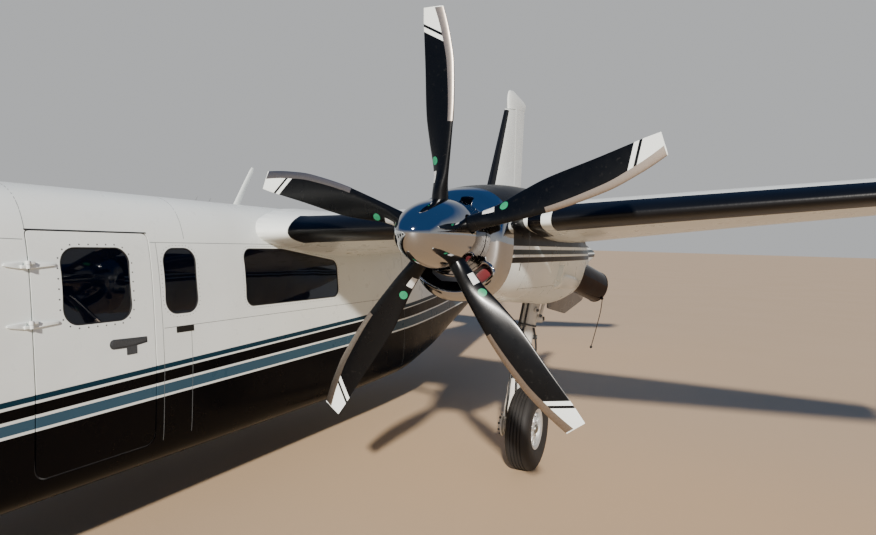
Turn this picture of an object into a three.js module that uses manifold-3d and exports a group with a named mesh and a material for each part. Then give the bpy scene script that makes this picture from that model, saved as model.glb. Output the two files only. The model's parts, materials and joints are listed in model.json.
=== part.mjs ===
// High-wing twin turboprop aircraft, parked on its landing gear.
// Millimetres. The nose points along -Y, the left wing along +X and +Z is up. The ground is z = 0.
// The origin is on the ground below the middle of the overall box.
// A station is a distance behind the propeller discs. aft() turns it into a y value.

import * as THREE from 'three';
import { mergeVertices } from 'three/addons/utils/BufferGeometryUtils.js';
import Module from 'manifold-3d';

const wasm = await Module();
wasm.setup();

// Driving dimensions
const PROPELLER_Y = -2140;
const SEAT_GAP = 0.3;
const SIDES = [['left', 1], ['right', -1]];

const ENGINE_X = 2300;
const SHAFT_Z = 1827;
const BLADE_COUNT = 5;
// How far each propeller is turned from one blade straight up, in degrees
const PARKED_TURN = { left: 0, right: 20 };
const HUB_RADIUS = 130;
const SPINNER = { radius: 203, length: 495, middle: 90, back: 197, skin: 8, plate: 15, bladeHole: 54 };

const CABIN_WALL = 45;
const CABIN_FRONT = -3100;
const CABIN_BACK = 2600;
const TAIL_WALL = 10;
const TAIL_SKIN = 10;
const GLASS = { inset: 4, thickness: 10 };

const MAIN_WHEEL = { x: 2338, station: 1700, radius: 325, width: 190, rim: 148, segments: 20 };
const NOSE_WHEEL = { x: 0, station: -3740, radius: 222, width: 160, rim: 82, segments: 16 };
const STEER_STATION = -3800;

const DOOR = { front: -1260, back: -545, low: 560, high: 1786, gap: 8, bevel: 8, corner: 60 };
const DOOR_HINGE = { station: -1279, x: 725, z: 1475, lean: 0.1, heights: [1620, 1330] };

const aft = (station) => PROPELLER_Y + station;
const radians = THREE.MathUtils.degToRad;

// Solids

function signedVolume(positions, index) {
  const [a, b, c] = [new THREE.Vector3(), new THREE.Vector3(), new THREE.Vector3()];
  let volume = 0;
  for (let i = 0; i < index.length; i += 3) {
    a.fromArray(positions, index[i] * 3);
    b.fromArray(positions, index[i + 1] * 3);
    c.fromArray(positions, index[i + 2] * 3);
    volume += a.dot(b.cross(c)) / 6;
  }
  return volume;
}

function solid(geometry) {
  const bare = geometry.clone();
  bare.deleteAttribute('normal');
  bare.deleteAttribute('uv');
  const merged = mergeVertices(bare, 1e-3);
  const vertProperties = new Float32Array(merged.attributes.position.array);
  const triVerts = new Uint32Array(merged.index.array);
  if (signedVolume(vertProperties, triVerts) < 0) triVerts.reverse();
  return new wasm.Manifold(new wasm.Mesh({ numProp: 3, vertProperties, triVerts }));
}

function geometryOf(body) {
  const mesh = body.getMesh();
  const geometry = new THREE.BufferGeometry();
  geometry.setAttribute('position', new THREE.BufferAttribute(new Float32Array(mesh.vertProperties), 3));
  geometry.setIndex(new THREE.BufferAttribute(new Uint32Array(mesh.triVerts), 1));
  geometry.computeVertexNormals();
  return geometry;
}

// A skin through rings of equally many points, each end closed by a fan round the ring's middle.
function loft(rings) {
  const count = rings[0].length;
  const last = rings.length - 1;
  const points = rings.flat();
  const index = [];
  for (let r = 0; r < last; r++) {
    for (let i = 0; i < count; i++) {
      const j = (i + 1) % count;
      const [a, b, c, d] = [r * count + i, r * count + j, (r + 1) * count + j, (r + 1) * count + i];
      index.push(a, b, c, a, c, d);
    }
  }
  for (const end of [0, last]) {
    const middle = new THREE.Vector3();
    rings[end].forEach((point) => middle.addScaledVector(point, 1 / count));
    points.push(middle);
    for (let i = 0; i < count; i++) {
      const edge = [end * count + i, end * count + ((i + 1) % count)];
      if (end === 0) edge.reverse();
      index.push(...edge, points.length - 1);
    }
  }
  const geometry = new THREE.BufferGeometry();
  const flat = points.flatMap((point) => point.toArray());
  geometry.setAttribute('position', new THREE.Float32BufferAttribute(flat, 3));
  geometry.setIndex(index);
  return solid(geometry);
}

function box(low, high) {
  const size = high.map((value, i) => value - low[i]);
  const geometry = new THREE.BoxGeometry(...size);
  return solid(geometry.translate(...low.map((value, i) => value + size[i] / 2)));
}

function rod(from, to, radius, endRadius = radius, segments = 16) {
  const start = new THREE.Vector3(...from);
  const along = new THREE.Vector3(...to).sub(start);
  const geometry = new THREE.CylinderGeometry(endRadius, radius, along.length(), segments);
  const turn = new THREE.Quaternion().setFromUnitVectors(new THREE.Vector3(0, 1, 0), along.clone().normalize());
  geometry.applyQuaternion(turn);
  return solid(geometry.translate(...start.addScaledVector(along, 0.5).toArray()));
}

// A profile of [radius, distance along the axis] turned about the X or the Y axis.
function turned(profile, axis, segments, half = false) {
  const points = profile.map(([radius, along]) => new THREE.Vector2(radius, along));
  const start = half ? Math.PI / segments : 0;
  const geometry = new THREE.LatheGeometry(points, segments, start);
  if (axis === 'x') geometry.rotateZ(-Math.PI / 2);
  return solid(geometry);
}

// An outline of [y, z] pairs made into a prism between two x values.
const sidePrism = (outline, from, to) => loft([from, to].map(
  (x) => outline.map(([y, z]) => new THREE.Vector3(x, y, z))));

// A rectangle of [y, z] points with round corners.
function roundedOutline(front, back, low, high, corner, steps = 3) {
  const centres = [[back - corner, high - corner, 0], [front + corner, high - corner, 90],
    [front + corner, low + corner, 180], [back - corner, low + corner, 270]];
  return centres.flatMap(([y, z, start]) => Array.from({ length: steps + 1 }, (_, i) => {
    const angle = radians(start + (90 * i) / steps);
    return [y + corner * Math.cos(angle), z + corner * Math.sin(angle)];
  }));
}

// Round bodies: fuselage and nacelles

function interpolate(rows, at) {
  const next = Math.max(1, rows.findIndex((row) => row[0] >= at));
  const [a, b] = [rows[next - 1], rows[next]];
  const mix = (at - a[0]) / (b[0] - a[0]);
  return a.map((value, i) => value + (b[i] - value) * mix);
}

// Station, half width, top, bottom, height of the widest point, corner power, lean of the sides
const FUSELAGE = [
  [-4620, 25, 1045, 995, 1020, 2.0, 0],
  [-4560, 95, 1110, 915, 1012, 2.0, 0],
  [-4300, 235, 1225, 800, 1000, 2.1, 0],
  [-3900, 385, 1350, 680, 975, 2.3, 0],
  [-3500, 500, 1440, 580, 950, 2.6, 0.02],
  [-3100, 590, 1515, 500, 920, 3.0, 0.04],
  [-2700, 655, 1735, 440, 890, 3.4, 0.06],
  [-2330, 705, 1945, 405, 870, 3.8, 0.08],
  [-1950, 735, 2015, 385, 860, 4.6, 0.1],
  [-1500, 750, 2040, 372, 850, 6.0, 0.107],
  [1600, 750, 2030, 370, 850, 6.0, 0.107],
  [2600, 738, 2025, 380, 860, 5.2, 0.1],
  [3400, 670, 2015, 470, 900, 4.2, 0.09],
  [4500, 525, 2000, 690, 1050, 3.4, 0.06],
  [5700, 370, 1980, 960, 1300, 2.8, 0.03],
  [6900, 235, 1950, 1260, 1560, 2.4, 0],
  [8000, 130, 1890, 1500, 1700, 2.2, 0],
  [8700, 60, 1800, 1620, 1710, 2.0, 0],
  [8900, 18, 1738, 1702, 1720, 2.0, 0],
];
const FUSELAGE_POINTS = 24;
const LEAN_START = 1000;

// Station, half width, top, bottom, height of the widest point, corner power, lean of the sides
const NACELLE = [
  [350, 321, 2120, 1425, 1787, 2.42, 0],
  [600, 336, 2157, 1405, 1775, 2.5, 0],
  [900, 346, 2184, 1388, 1765, 2.6, 0],
  [1250, 354, 2194, 1368, 1755, 2.7, 0],
  [1800, 360, 2170, 1312, 1700, 2.8, 0],
  [2300, 342, 2085, 1322, 1600, 2.1, 0],
  [2900, 215, 1930, 1420, 1620, 2.2, 0],
  [3600, 80, 1830, 1560, 1660, 2.0, 0],
  [4150, 30, 1745, 1655, 1700, 2.0, 0],
];
const NACELLE_POINTS = 20;

function bodyRing(row, count, inset, x = 0) {
  const [station, half, top, bottom, widest, power, lean] = row;
  return Array.from({ length: count }, (_, i) => {
    const angle = Math.PI / 2 - (2 * Math.PI * i) / count;
    const [across, up] = [Math.cos(angle), Math.sin(angle)];
    const reach = (up > 0 ? top - widest : widest - bottom) - inset;
    const z = widest + reach * Math.sign(up) * Math.abs(up) ** (2 / power);
    const tilt = 1 - (lean * Math.max(0, z - LEAN_START)) / 1000;
    const wide = (half - inset) * tilt * Math.sign(across) * Math.abs(across) ** (2 / power);
    return new THREE.Vector3(x + wide, aft(station), z);
  });
}

// The part of a body between two stations, its surface moved in by inset.
function bodyBetween(rows, from, to, { inset = 0, count = FUSELAGE_POINTS, x = 0 } = {}) {
  const inner = rows.filter((row) => row[0] > from && row[0] < to);
  const ends = [from, to].map((station) => interpolate(rows, station));
  return loft([ends[0], ...inner, ends[1]].map((row) => bodyRing(row, count, inset, x)));
}

const nacelleBetween = (from, to, side, inset = 0) => bodyBetween(NACELLE, from, to,
  { inset, count: NACELLE_POINTS, x: side * ENGINE_X });

// Wings and tail surfaces

// Distance from the centre line, leading edge station, chord, leading edge height,
// thickness as a part of the chord, incidence in degrees
const WING = [
  [560, 400, 2760, 1815, 0.14, 2.4],
  [900, 530, 2462, 1841, 0.12, 2.6],
  [2300, 530, 2096, 1900, 0.12, 2.8],
  [6900, 530, 895, 2273, 0.12, -0.8],
  [7060, 575, 800, 2286, 0.1, -1.0],
  [7110, 680, 560, 2292, 0.05, -1.0],
];
const TAILPLANE = [
  [60, 6790, 1460, 1731, 0.11, 0],
  [2880, 7230, 790, 2228, 0.1, 0],
  [2970, 7270, 700, 2244, 0.08, 0],
  [3010, 7380, 500, 2251, 0.05, 0],
];
// Height, leading edge station, chord, unused height, thickness as a part of the chord, incidence
const FIN = [
  [1800, 6350, 2195, 0, 0.1, 0],
  [2820, 6890, 1722, 0, 0.095, 0],
  [4400, 7724, 982, 0, 0.095, 0],
];
const WING_CAMBER = 0.018;
const CAMBER_PEAK = 0.15;
const CHORD_STEPS = [0, 0.012, 0.06, 0.17, 0.35, 0.58, 0.8, 1];

function camber(f, most) {
  const p = CAMBER_PEAK;
  if (f < p) return (most / p ** 2) * (2 * p * f - f * f);
  return (most / (1 - p) ** 2) * (1 - 2 * p + 2 * p * f - f * f);
}

const halfThickness = (f, thickness) => 5 * thickness
  * (0.2969 * Math.sqrt(f) - 0.126 * f - 0.3516 * f ** 2 + 0.2843 * f ** 3 - 0.1036 * f ** 4);

// One kind of lifting surface: its table, its camber and the place of a point of a section.
const wingKind = (rows, most, side) => ({
  rows,
  most,
  point: ([span, lead, chord, height, , incidence], f, offset) => {
    const tilt = radians(incidence);
    const y = aft(lead + chord * f * Math.cos(tilt) + offset * Math.sin(tilt));
    const z = height - chord * f * Math.sin(tilt) + offset * Math.cos(tilt);
    return new THREE.Vector3(side * span, y, z);
  },
});
const finKind = {
  rows: FIN,
  most: 0,
  point: ([height, lead, chord], f, offset) => new THREE.Vector3(offset, aft(lead + chord * f), height),
};

const offsetAt = (kind, row, f, face, grow = 0) => row[2] * (camber(f, kind.most) + face * halfThickness(f, row[4]))
  + face * grow;

function sectionRing(kind, row) {
  const upper = CHORD_STEPS.map((f) => kind.point(row, f, offsetAt(kind, row, f, 1)));
  const lower = CHORD_STEPS.slice(1, -1).reverse().map((f) => kind.point(row, f, offsetAt(kind, row, f, -1)));
  return [...upper, ...lower];
}

const liftingSurface = (kind) => loft(kind.rows.map((row) => sectionRing(kind, row)));

// The space between the skins ahead of the hinge line, open at the root.
function hollow(kind, from, to) {
  const across = [0.08, 0.2, 0.35, 0.5];
  return loft([from, to].map((span) => {
    const row = interpolate(kind.rows, span);
    const at = (face) => (f) => kind.point(row, f, offsetAt(kind, row, f, face, -TAIL_SKIN));
    return [...across.map(at(1)), ...across.toReversed().map(at(-1))];
  }));
}

// Running clearance round the nose of a control surface
const NOSE_GAP = 8;
const HINGE_PIN = { radius: 8, reach: 16, running: 0.8, segments: 12 };

// A hinged surface cut out of a lifting surface: what moves, what is cut away, and its hinge line.
// Pins on its two ends turn in holes in the fixed surface.
function hinged(kind, { from, to, hinge, lipTop, lipBottom, endGap }) {
  const ARC_STEPS = 6;
  const OUTSIDE = 150;
  const centre = (row) => {
    const [top, bottom] = [1, -1].map((face) => offsetAt(kind, row, hinge, face));
    return { middle: (top + bottom) / 2, radius: (top - bottom) / 2 };
  };
  const arc = (row, radius, start, end, middle) => Array.from({ length: ARC_STEPS + 1 }, (_, i) => {
    const angle = start + ((end - start) * i) / ARC_STEPS;
    return kind.point(row, hinge + (radius * Math.cos(angle)) / row[2], middle + radius * Math.sin(angle));
  });
  const movingRing = (span) => {
    const row = interpolate(kind.rows, span);
    const { middle, radius } = centre(row);
    const back = (1 + 2 * hinge) / 3;
    const surface = (f, face) => kind.point(row, f, offsetAt(kind, row, f, face));
    return [...arc(row, radius, Math.PI / 2, 1.5 * Math.PI, middle),
      surface(back, -1), surface(1, 0), surface(back, 1)];
  };
  const cutRing = (span) => {
    const row = interpolate(kind.rows, span);
    const { middle, radius } = centre(row);
    const wide = radius + NOSE_GAP;
    const start = Math.PI / 2 + Math.asin((lipTop * radius) / wide);
    const end = 1.5 * Math.PI - Math.asin((lipBottom * radius) / wide);
    const reach = radius + OUTSIDE;
    const behind = 1 + OUTSIDE / row[2];
    return [kind.point(row, hinge - (lipTop * radius) / row[2], middle + reach),
      ...arc(row, wide, start, end, middle),
      kind.point(row, hinge - (lipBottom * radius) / row[2], middle - reach),
      kind.point(row, behind, middle - reach), kind.point(row, behind, middle + reach)];
  };
  const line = [from, to].map((span) => {
    const row = interpolate(kind.rows, span);
    return kind.point(row, hinge, centre(row).middle);
  });
  const pin = (reach, radius) => {
    const step = line[1].clone().sub(line[0]).normalize().multiplyScalar(reach);
    return rod(line[0].clone().sub(step).toArray(), line[1].clone().add(step).toArray(), radius, radius,
      HINGE_PIN.segments);
  };
  const { radius: pinRadius, reach: pinReach, running } = HINGE_PIN;
  return {
    moving: loft([from + endGap, to - endGap].map(movingRing)).add(pin(pinReach, pinRadius)),
    cut: loft([from, to].map(cutRing)).add(pin(pinReach + running, pinRadius + running)),
    line,
  };
}

// Inner end, outer end, hinge line as a part of the chord, how far the lips reach back over the round nose
const FLAP_INNER = { from: 922, to: 1908, hinge: 0.72, lipTop: 0.05, lipBottom: 0.75, endGap: 20 };
const FLAP_OUTER = { from: 2714, to: 4566, hinge: 0.72, lipTop: 0.05, lipBottom: 0.75, endGap: 15 };
const AILERON = { from: 4598, to: 6852, hinge: 0.74, lipTop: 0.4, lipBottom: 0.4, endGap: 11 };
const ELEVATOR = { from: 296, to: 2882, hinge: 0.62, lipTop: 0.45, lipBottom: 0.45, endGap: 14 };
const RUDDER = { from: 2200, to: 4400, hingeStation: 8060, lip: 0.45, pinTop: 2300 };

// The scene and its materials

const aircraft = new THREE.Group();
const hinges = {};

const paint = (color, roughness = 0.3) => new THREE.MeshStandardMaterial({ color, roughness, metalness: 0 });
const metal = (color, roughness) => new THREE.MeshStandardMaterial({ color, roughness, metalness: 1 });
const white = () => paint(0xeceff0, 0.25);
const darkGlass = () => new THREE.MeshStandardMaterial({ color: 0x10161a, roughness: 0.05, metalness: 0 });

function piece(name, body, material) {
  const mesh = new THREE.Mesh(geometryOf(body), material);
  mesh.name = name;
  aircraft.add(mesh);
}

// Fuselage

const fuselageGrown = bodyBetween(FUSELAGE, -4620, 8900, { inset: -SEAT_GAP });
const glassLayer = bodyBetween(FUSELAGE, -3600, CABIN_BACK, { inset: GLASS.inset })
  .subtract(bodyBetween(FUSELAGE, -3650, CABIN_BACK + 50, { inset: GLASS.inset + GLASS.thickness }));

// Front, back, low, high, corner radius
const CABIN_WINDOWS = [
  ['forward', -1100, -690, 1303, 1703, 85],
  ['middle', -448, -193, 1307, 1703, 85],
];
// The long rear window, whose upper edge falls towards the back: [station, z]
const REAR_WINDOW = [[325, 1303], [1330, 1303], [1378, 1320], [1397, 1368], [1397, 1540], [1380, 1585],
  [1317, 1614], [680, 1700], [325, 1703], [275, 1680], [255, 1630], [255, 1375], [275, 1325]];
// Cockpit side window: [station, z]
const COCKPIT_WINDOW = [[-2330, 1330], [-1520, 1290], [-1470, 1330], [-1470, 1680], [-1520, 1735],
  [-1950, 1735], [-2060, 1700], [-2340, 1400]];
// One windscreen pane, seen from the front: [x, z]
const WINDSCREEN = [[28, 1590], [400, 1560], [530, 1590], [545, 1640], [470, 1800], [400, 1870], [300, 1905],
  [28, 1915]];

// The outline moved outwards by grow from its own middle line by line.
function grown(outline, grow) {
  const count = outline.length;
  return outline.map((point, i) => {
    const [before, after] = [outline[(i + count - 1) % count], outline[(i + 1) % count]];
    const along = new THREE.Vector2(after[0] - before[0], after[1] - before[1]).normalize();
    return [point[0] + along.y * grow, point[1] - along.x * grow];
  });
}

const windowOutline = ([, front, back, low, high, corner]) => roundedOutline(aft(front), aft(back), low, high, corner);
const placed = (outline) => outline.map(([station, z]) => [aft(station), z]);

// Each opening is the glass outline; the pane is smaller by the seat gap.
function glazing(outline, side) {
  const reach = [side * 300, side * 900];
  return {
    opening: sidePrism(outline, ...reach),
    pane: glassLayer.intersect(sidePrism(grown(outline, -SEAT_GAP * windingOf(outline)), ...reach)),
  };
}

const windingOf = (outline) => Math.sign(outline.reduce((area, [y, z], i) => {
  const next = outline[(i + 1) % outline.length];
  return area + y * next[1] - next[0] * z;
}, 0));

function windscreenPane(side, shrink) {
  const outline = grown(WINDSCREEN, -shrink * windingOf(WINDSCREEN));
  return loft([-3350, -1980].map((station) => outline.map(([x, z]) => new THREE.Vector3(side * x, aft(station), z))));
}

const noseBay = box([-150, aft(-4050), 300], [150, aft(-3120), 900]);

function fuselageNose() {
  const nose = bodyBetween(FUSELAGE, -4620, CABIN_FRONT - SEAT_GAP);
  return nose.subtract(noseBay);
}

// The cabin door's outline at one x value; its rear edge is bevelled so that it swings out freely.
function doorOutline(x, grow) {
  const skin = (z) => 750 - 0.115 * Math.max(0, z - LEAN_START);
  const outline = roundedOutline(aft(DOOR.front), aft(DOOR.back), DOOR.low, DOOR.high, DOOR.corner);
  return grown(outline, grow).map(([y, z]) => {
    const rear = y > aft((DOOR.front + DOOR.back) / 2);
    return new THREE.Vector3(x, y + (rear ? (x - skin(z)) / DOOR.bevel : 0), z);
  });
}
const doorPrism = (grow) => loft([400, 900].map((x) => doorOutline(x, grow)));

// Hinge leaves stand on the skin ahead of the door and on the door, round one leaning pin line.
const HINGE_LEAF = { clear: 20, deep: 60, proud: 5, half: 22, pin: 11, split: 1, ends: [-1390, -1125] };
const hingeX = (z) => DOOR_HINGE.x - DOOR_HINGE.lean * (z - DOOR_HINGE.z);

// The leaf reaches from the pin to one end: forwards on the fuselage, backwards on the door.
function hingeLeaf(z, end, low, high) {
  const x = hingeX(z);
  const { clear, deep, proud, half, pin } = HINGE_LEAF;
  const way = Math.sign(end - DOOR_HINGE.station);
  const between = (from, to) => [from, to].map(aft).sort((a, b) => a - b);
  const plateY = between(DOOR_HINGE.station + way * clear, end);
  const armY = between(DOOR_HINGE.station, DOOR_HINGE.station + way * (clear + pin));
  const plate = box([x - deep, plateY[0], z - half], [x + proud, plateY[1], z + half]);
  const arm = box([x - pin, armY[0], z + low], [x + proud, armY[1], z + high]);
  const knuckle = rod([hingeX(z + low), aft(DOOR_HINGE.station), z + low],
    [hingeX(z + high), aft(DOOR_HINGE.station), z + high], pin, pin, 10);
  return plate.add(arm).add(knuckle);
}

function cabinShell() {
  const inner = bodyBetween(FUSELAGE, CABIN_FRONT - 50, CABIN_BACK + 50, { inset: CABIN_WALL });
  let shell = bodyBetween(FUSELAGE, CABIN_FRONT, CABIN_BACK - SEAT_GAP).subtract(inner);
  shell = shell.subtract(doorPrism(DOOR.gap));
  for (const z of DOOR_HINGE.heights) {
    const leaf = hingeLeaf(z, HINGE_LEAF.ends[0], -20, -HINGE_LEAF.split).subtract(inner);
    shell = shell.add(leaf);
  }
  return shell;
}

const ANTENNA = [[884, 2000], [1150, 2000], [1250, 2030], [1145, 2383], [1090, 2383]];
const antenna = () => sidePrism(placed(ANTENNA), -6, 6);

function cabinDoor(window) {
  const inner = bodyBetween(FUSELAGE, CABIN_FRONT - 50, CABIN_BACK + 50, { inset: CABIN_WALL });
  let door = bodyBetween(FUSELAGE, CABIN_FRONT, CABIN_BACK).subtract(inner).intersect(doorPrism(0));
  for (const z of DOOR_HINGE.heights) {
    door = door.add(hingeLeaf(z, HINGE_LEAF.ends[1], HINGE_LEAF.split, 20).subtract(inner));
  }
  return door.subtract(window.opening);
}

function tailCone() {
  const cavity = bodyBetween(FUSELAGE, CABIN_BACK - 50, 8300, { inset: TAIL_WALL });
  return bodyBetween(FUSELAGE, CABIN_BACK, 8900).subtract(cavity);
}

const FLOOR = { low: 560, high: 600, front: -2900, back: 2540 };
function cabinInterior() {
  const room = bodyBetween(FUSELAGE, CABIN_FRONT, CABIN_BACK - 1, { inset: CABIN_WALL + SEAT_GAP });
  const floor = box([-800, aft(FLOOR.front), FLOOR.low], [800, aft(FLOOR.back), FLOOR.high]);
  const bulkhead = box([-800, aft(FLOOR.back), 300], [800, aft(FLOOR.back + 40), 2200]);
  const panel = box([-800, aft(-2700), 1180], [800, aft(-2620), 1480]);
  const pedestal = box([-140, aft(-2700), FLOOR.low], [140, aft(-2450), 1200]);
  return room.intersect(floor.add(bulkhead).add(panel).add(pedestal));
}

// A seat seen from the side, [distance behind its front edge, height above the floor]
const SEAT_PROFILE = [[0, 300], [30, 415], [400, 385], [520, 900], [560, 930], [610, 925], [625, 880],
  [520, 300], [470, 0], [120, 0], [120, 300]];
function seat(station, x, width = 440) {
  const outline = SEAT_PROFILE.map(([back, up]) => [aft(station + back), FLOOR.high + SEAT_GAP + up]);
  const shape = new THREE.Shape(outline.map(([y, z]) => new THREE.Vector2(y, z)));
  const geometry = new THREE.ExtrudeGeometry(shape, { depth: width, bevelEnabled: false, curveSegments: 1 });
  const standing = new THREE.Matrix4().makeBasis(new THREE.Vector3(0, 1, 0), new THREE.Vector3(0, 0, 1),
    new THREE.Vector3(1, 0, 0));
  geometry.applyMatrix4(standing);
  return solid(geometry.translate(x - width / 2, 0, 0));
}
const seatPair = (station) => seat(station, -330).add(seat(station, 330))
  .add(box([-330, aft(station + 140), FLOOR.high + SEAT_GAP], [330, aft(station + 440), FLOOR.high + 30]));

function fuselage() {
  let shell = cabinShell().add(antenna().subtract(bodyBetween(FUSELAGE, 0, 2000, { inset: CABIN_WALL })));
  const panes = [];
  let doorWindow;
  for (const [sideName, side] of SIDES) {
    for (const row of CABIN_WINDOWS) {
      const window = glazing(windowOutline(row), side);
      const onDoor = side === 1 && row[0] === 'forward';
      if (onDoor) doorWindow = window;
      else shell = shell.subtract(window.opening);
      panes.push([onDoor ? 'window_door' : `window_${row[0]}_${sideName}`, window.pane]);
    }
    for (const [name, outline] of [['rear', REAR_WINDOW], ['cockpit', COCKPIT_WINDOW]]) {
      const window = glazing(placed(outline), side);
      shell = shell.subtract(window.opening);
      panes.push([`window_${name}_${sideName}`, window.pane]);
    }
    shell = shell.subtract(windscreenPane(side, 0));
    panes.push([`windscreen_${sideName}`, glassLayer.intersect(windscreenPane(side, SEAT_GAP))]);
  }
  piece('fuselage_nose', fuselageNose(), white());
  piece('fuselage_cabin', shell, white());
  piece('fuselage_tail', tailCone(), white());
  piece('cabin_door', cabinDoor(doorWindow), white());
  panes.forEach(([name, pane]) => piece(name, pane, darkGlass()));
  piece('cabin_interior', cabinInterior(), paint(0x6f6a62, 0.8));
  piece('seat_pilot', seat(-2250, 300), paint(0x5a5650, 0.7));
  piece('seat_copilot', seat(-2250, -300), paint(0x5a5650, 0.7));
  piece('seats_middle', seatPair(-300), paint(0x5a5650, 0.7));
  piece('seats_rear', seatPair(950), paint(0x5a5650, 0.7));
  hinges.cabin_door = [new THREE.Vector3(hingeX(DOOR.low), aft(DOOR_HINGE.station), DOOR.low),
    new THREE.Vector3(hingeX(DOOR.high), aft(DOOR_HINGE.station), DOOR.high)];
}

// Wings, with flaps and ailerons cut out of them

const ENGINE = { front: 380, back: 1250, half: 215, low: 1545, high: 2000, shaft: 55 };
// The slot that the leg and its door fold into: station, half width
const LEG_WELL = [[1500, 110], [2900, 110], [3100, 80]];
const WELL_TOP = 1640;

const COWL_BACK = NACELLE[0][0];

// The space inside the cowling, from its open front to the firewall
const engineSpace = (side) => bodyBetween(NACELLE.filter((row) => row[0] !== 900), COWL_BACK - 5,
  ENGINE.back, { inset: 20, count: NACELLE_POINTS, x: side * ENGINE_X });

function wings() {
  for (const [sideName, side] of SIDES) {
    const kind = wingKind(WING, WING_CAMBER, side);
    let wing = liftingSurface(kind).subtract(fuselageGrown).subtract(engineSpace(side));
    for (const [name, layout] of [['flap_inner', FLAP_INNER], ['flap_outer', FLAP_OUTER], ['aileron', AILERON]]) {
      const part = hinged(kind, layout);
      wing = wing.subtract(part.cut);
      piece(`${name}_${sideName}`, part.moving, white());
      hinges[`${name}_${sideName}`] = part.line;
    }
    piece(`wing_${sideName}`, wing, white());
  }
}

// Tail

const CAP = [
  [[7725, 4192], [8722, 4330], 48],
  [[7700, 4340], [8765, 4395], 48],
  [[7730, 4470], [8772, 4425], 38],
  [[7800, 4530], [8765, 4445], 20],
  [[7990, 4560], [8600, 4490], 4],
];
const CAP_STEPS = [0, 0.03, 0.12, 0.3, 0.55, 0.8, 1];
const CAP_CLEARANCE = 12;

// The horn on top of the rudder: rings between a leading and a trailing [station, z], with a half width.
function rudderCap() {
  return loft(CAP.map(([lead, trail, half]) => {
    const at = (f, face) => new THREE.Vector3(face * half * (halfThickness(f, 0.1) / 0.05),
      aft(lead[0] + (trail[0] - lead[0]) * f), lead[1] + (trail[1] - lead[1]) * f);
    const right = CAP_STEPS.slice(1, -1).reverse().map((f) => at(f, -1));
    return [...CAP_STEPS.map((f) => at(f, 1)), ...right];
  }));
}

// Everything above the cap's lower edge, less a running clearance
function aboveCap(clearance) {
  const slope = (CAP[0][1][1] - CAP[0][0][1]) / (CAP[0][1][0] - CAP[0][0][0]);
  const z = (station) => CAP[0][0][1] + slope * (station - CAP[0][0][0]) - clearance;
  return sidePrism(placed([[7300, z(7300)], [9000, z(9000)], [9000, 5000], [7300, 5000]]), -300, 300);
}

function tail() {
  const DORSAL = [[4900, 1900], [4900, 1985], [5900, 2200], [6640, 2450], [7100, 2450], [7100, 1900]];
  const finBody = liftingSurface(finKind);
  const hingeFraction = (height) => {
    const row = interpolate(FIN, height);
    return (RUDDER.hingeStation - row[1]) / row[2];
  };
  const ARC_STEPS = 6;
  const OUTSIDE = 400;
  const moving = [];
  const cut = [];
  for (const height of [RUDDER.from, 2820, RUDDER.to]) {
    const row = interpolate(FIN, height);
    const hinge = hingeFraction(height);
    const radius = offsetAt(finKind, row, hinge, 1);
    const arc = (wide, start, end) => Array.from({ length: ARC_STEPS + 1 }, (_, i) => {
      const angle = start + ((end - start) * i) / ARC_STEPS;
      return finKind.point(row, hinge + (wide * Math.cos(angle)) / row[2], wide * Math.sin(angle));
    });
    const back = (1 + 2 * hinge) / 3;
    moving.push([...arc(radius, Math.PI / 2, 1.5 * Math.PI),
      finKind.point(row, back, offsetAt(finKind, row, back, -1)), finKind.point(row, 1, 0),
      finKind.point(row, back, offsetAt(finKind, row, back, 1))]);
    const lip = RUDDER.lip * radius;
    const turn = Math.asin(lip / (radius + NOSE_GAP));
    const behind = 1 + OUTSIDE / row[2];
    cut.push([finKind.point(row, hinge - lip / row[2], OUTSIDE),
      ...arc(radius + NOSE_GAP, Math.PI / 2 + turn, 1.5 * Math.PI - turn),
      finKind.point(row, hinge - lip / row[2], -OUTSIDE), finKind.point(row, behind, -OUTSIDE),
      finKind.point(row, behind, OUTSIDE)]);
  }
  moving[0].forEach((point) => { point.z += NOSE_GAP; });
  const dorsal = sidePrism(placed(DORSAL), -40, 40);
  const pin = (from, radius) => rod([0, aft(RUDDER.hingeStation), from],
    [0, aft(RUDDER.hingeStation), RUDDER.pinTop], radius, radius, HINGE_PIN.segments);
  const pinFoot = RUDDER.from - HINGE_PIN.reach;
  const { radius: pinRadius, running } = HINGE_PIN;
  const rudder = loft(moving).subtract(aboveCap(-20)).add(rudderCap()).add(pin(pinFoot, pinRadius));
  piece('rudder', rudder, white());
  const fin = finBody.subtract(aboveCap(CAP_CLEARANCE)).subtract(loft(cut)).add(dorsal).subtract(fuselageGrown)
    .subtract(hollow(finKind, 1800, 3600)).subtract(pin(pinFoot - running, pinRadius + running));
  piece('fin', fin, white());
  hinges.rudder = [2000, 4000].map((z) => new THREE.Vector3(0, aft(RUDDER.hingeStation), z));
  for (const [sideName, side] of SIDES) {
    const kind = wingKind(TAILPLANE, 0, side);
    const elevator = hinged(kind, ELEVATOR);
    const plane = liftingSurface(kind).subtract(elevator.cut).subtract(fuselageGrown)
      .subtract(hollow(kind, 60, 2700));
    piece(`tailplane_${sideName}`, plane, white());
    piece(`elevator_${sideName}`, elevator.moving, white());
    hinges[`elevator_${sideName}`] = elevator.line;
  }
}

// Nacelles, engines and exhausts

// Station, half width, top, bottom, height of the widest point, corner power, lean
const BOWL = [
  [205, 250, 2035, 1482, 1810, 2.1, 0],
  [215, 280, 2060, 1462, 1805, 2.2, 0],
  [260, 308, 2093, 1437, 1795, 2.35, 0],
  [COWL_BACK - SEAT_GAP, 321, 2120, 1425, 1787, 2.42, 0],
];
const INTAKE = { inner: 245, outer: 330, start: 222, end: 318 };

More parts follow.
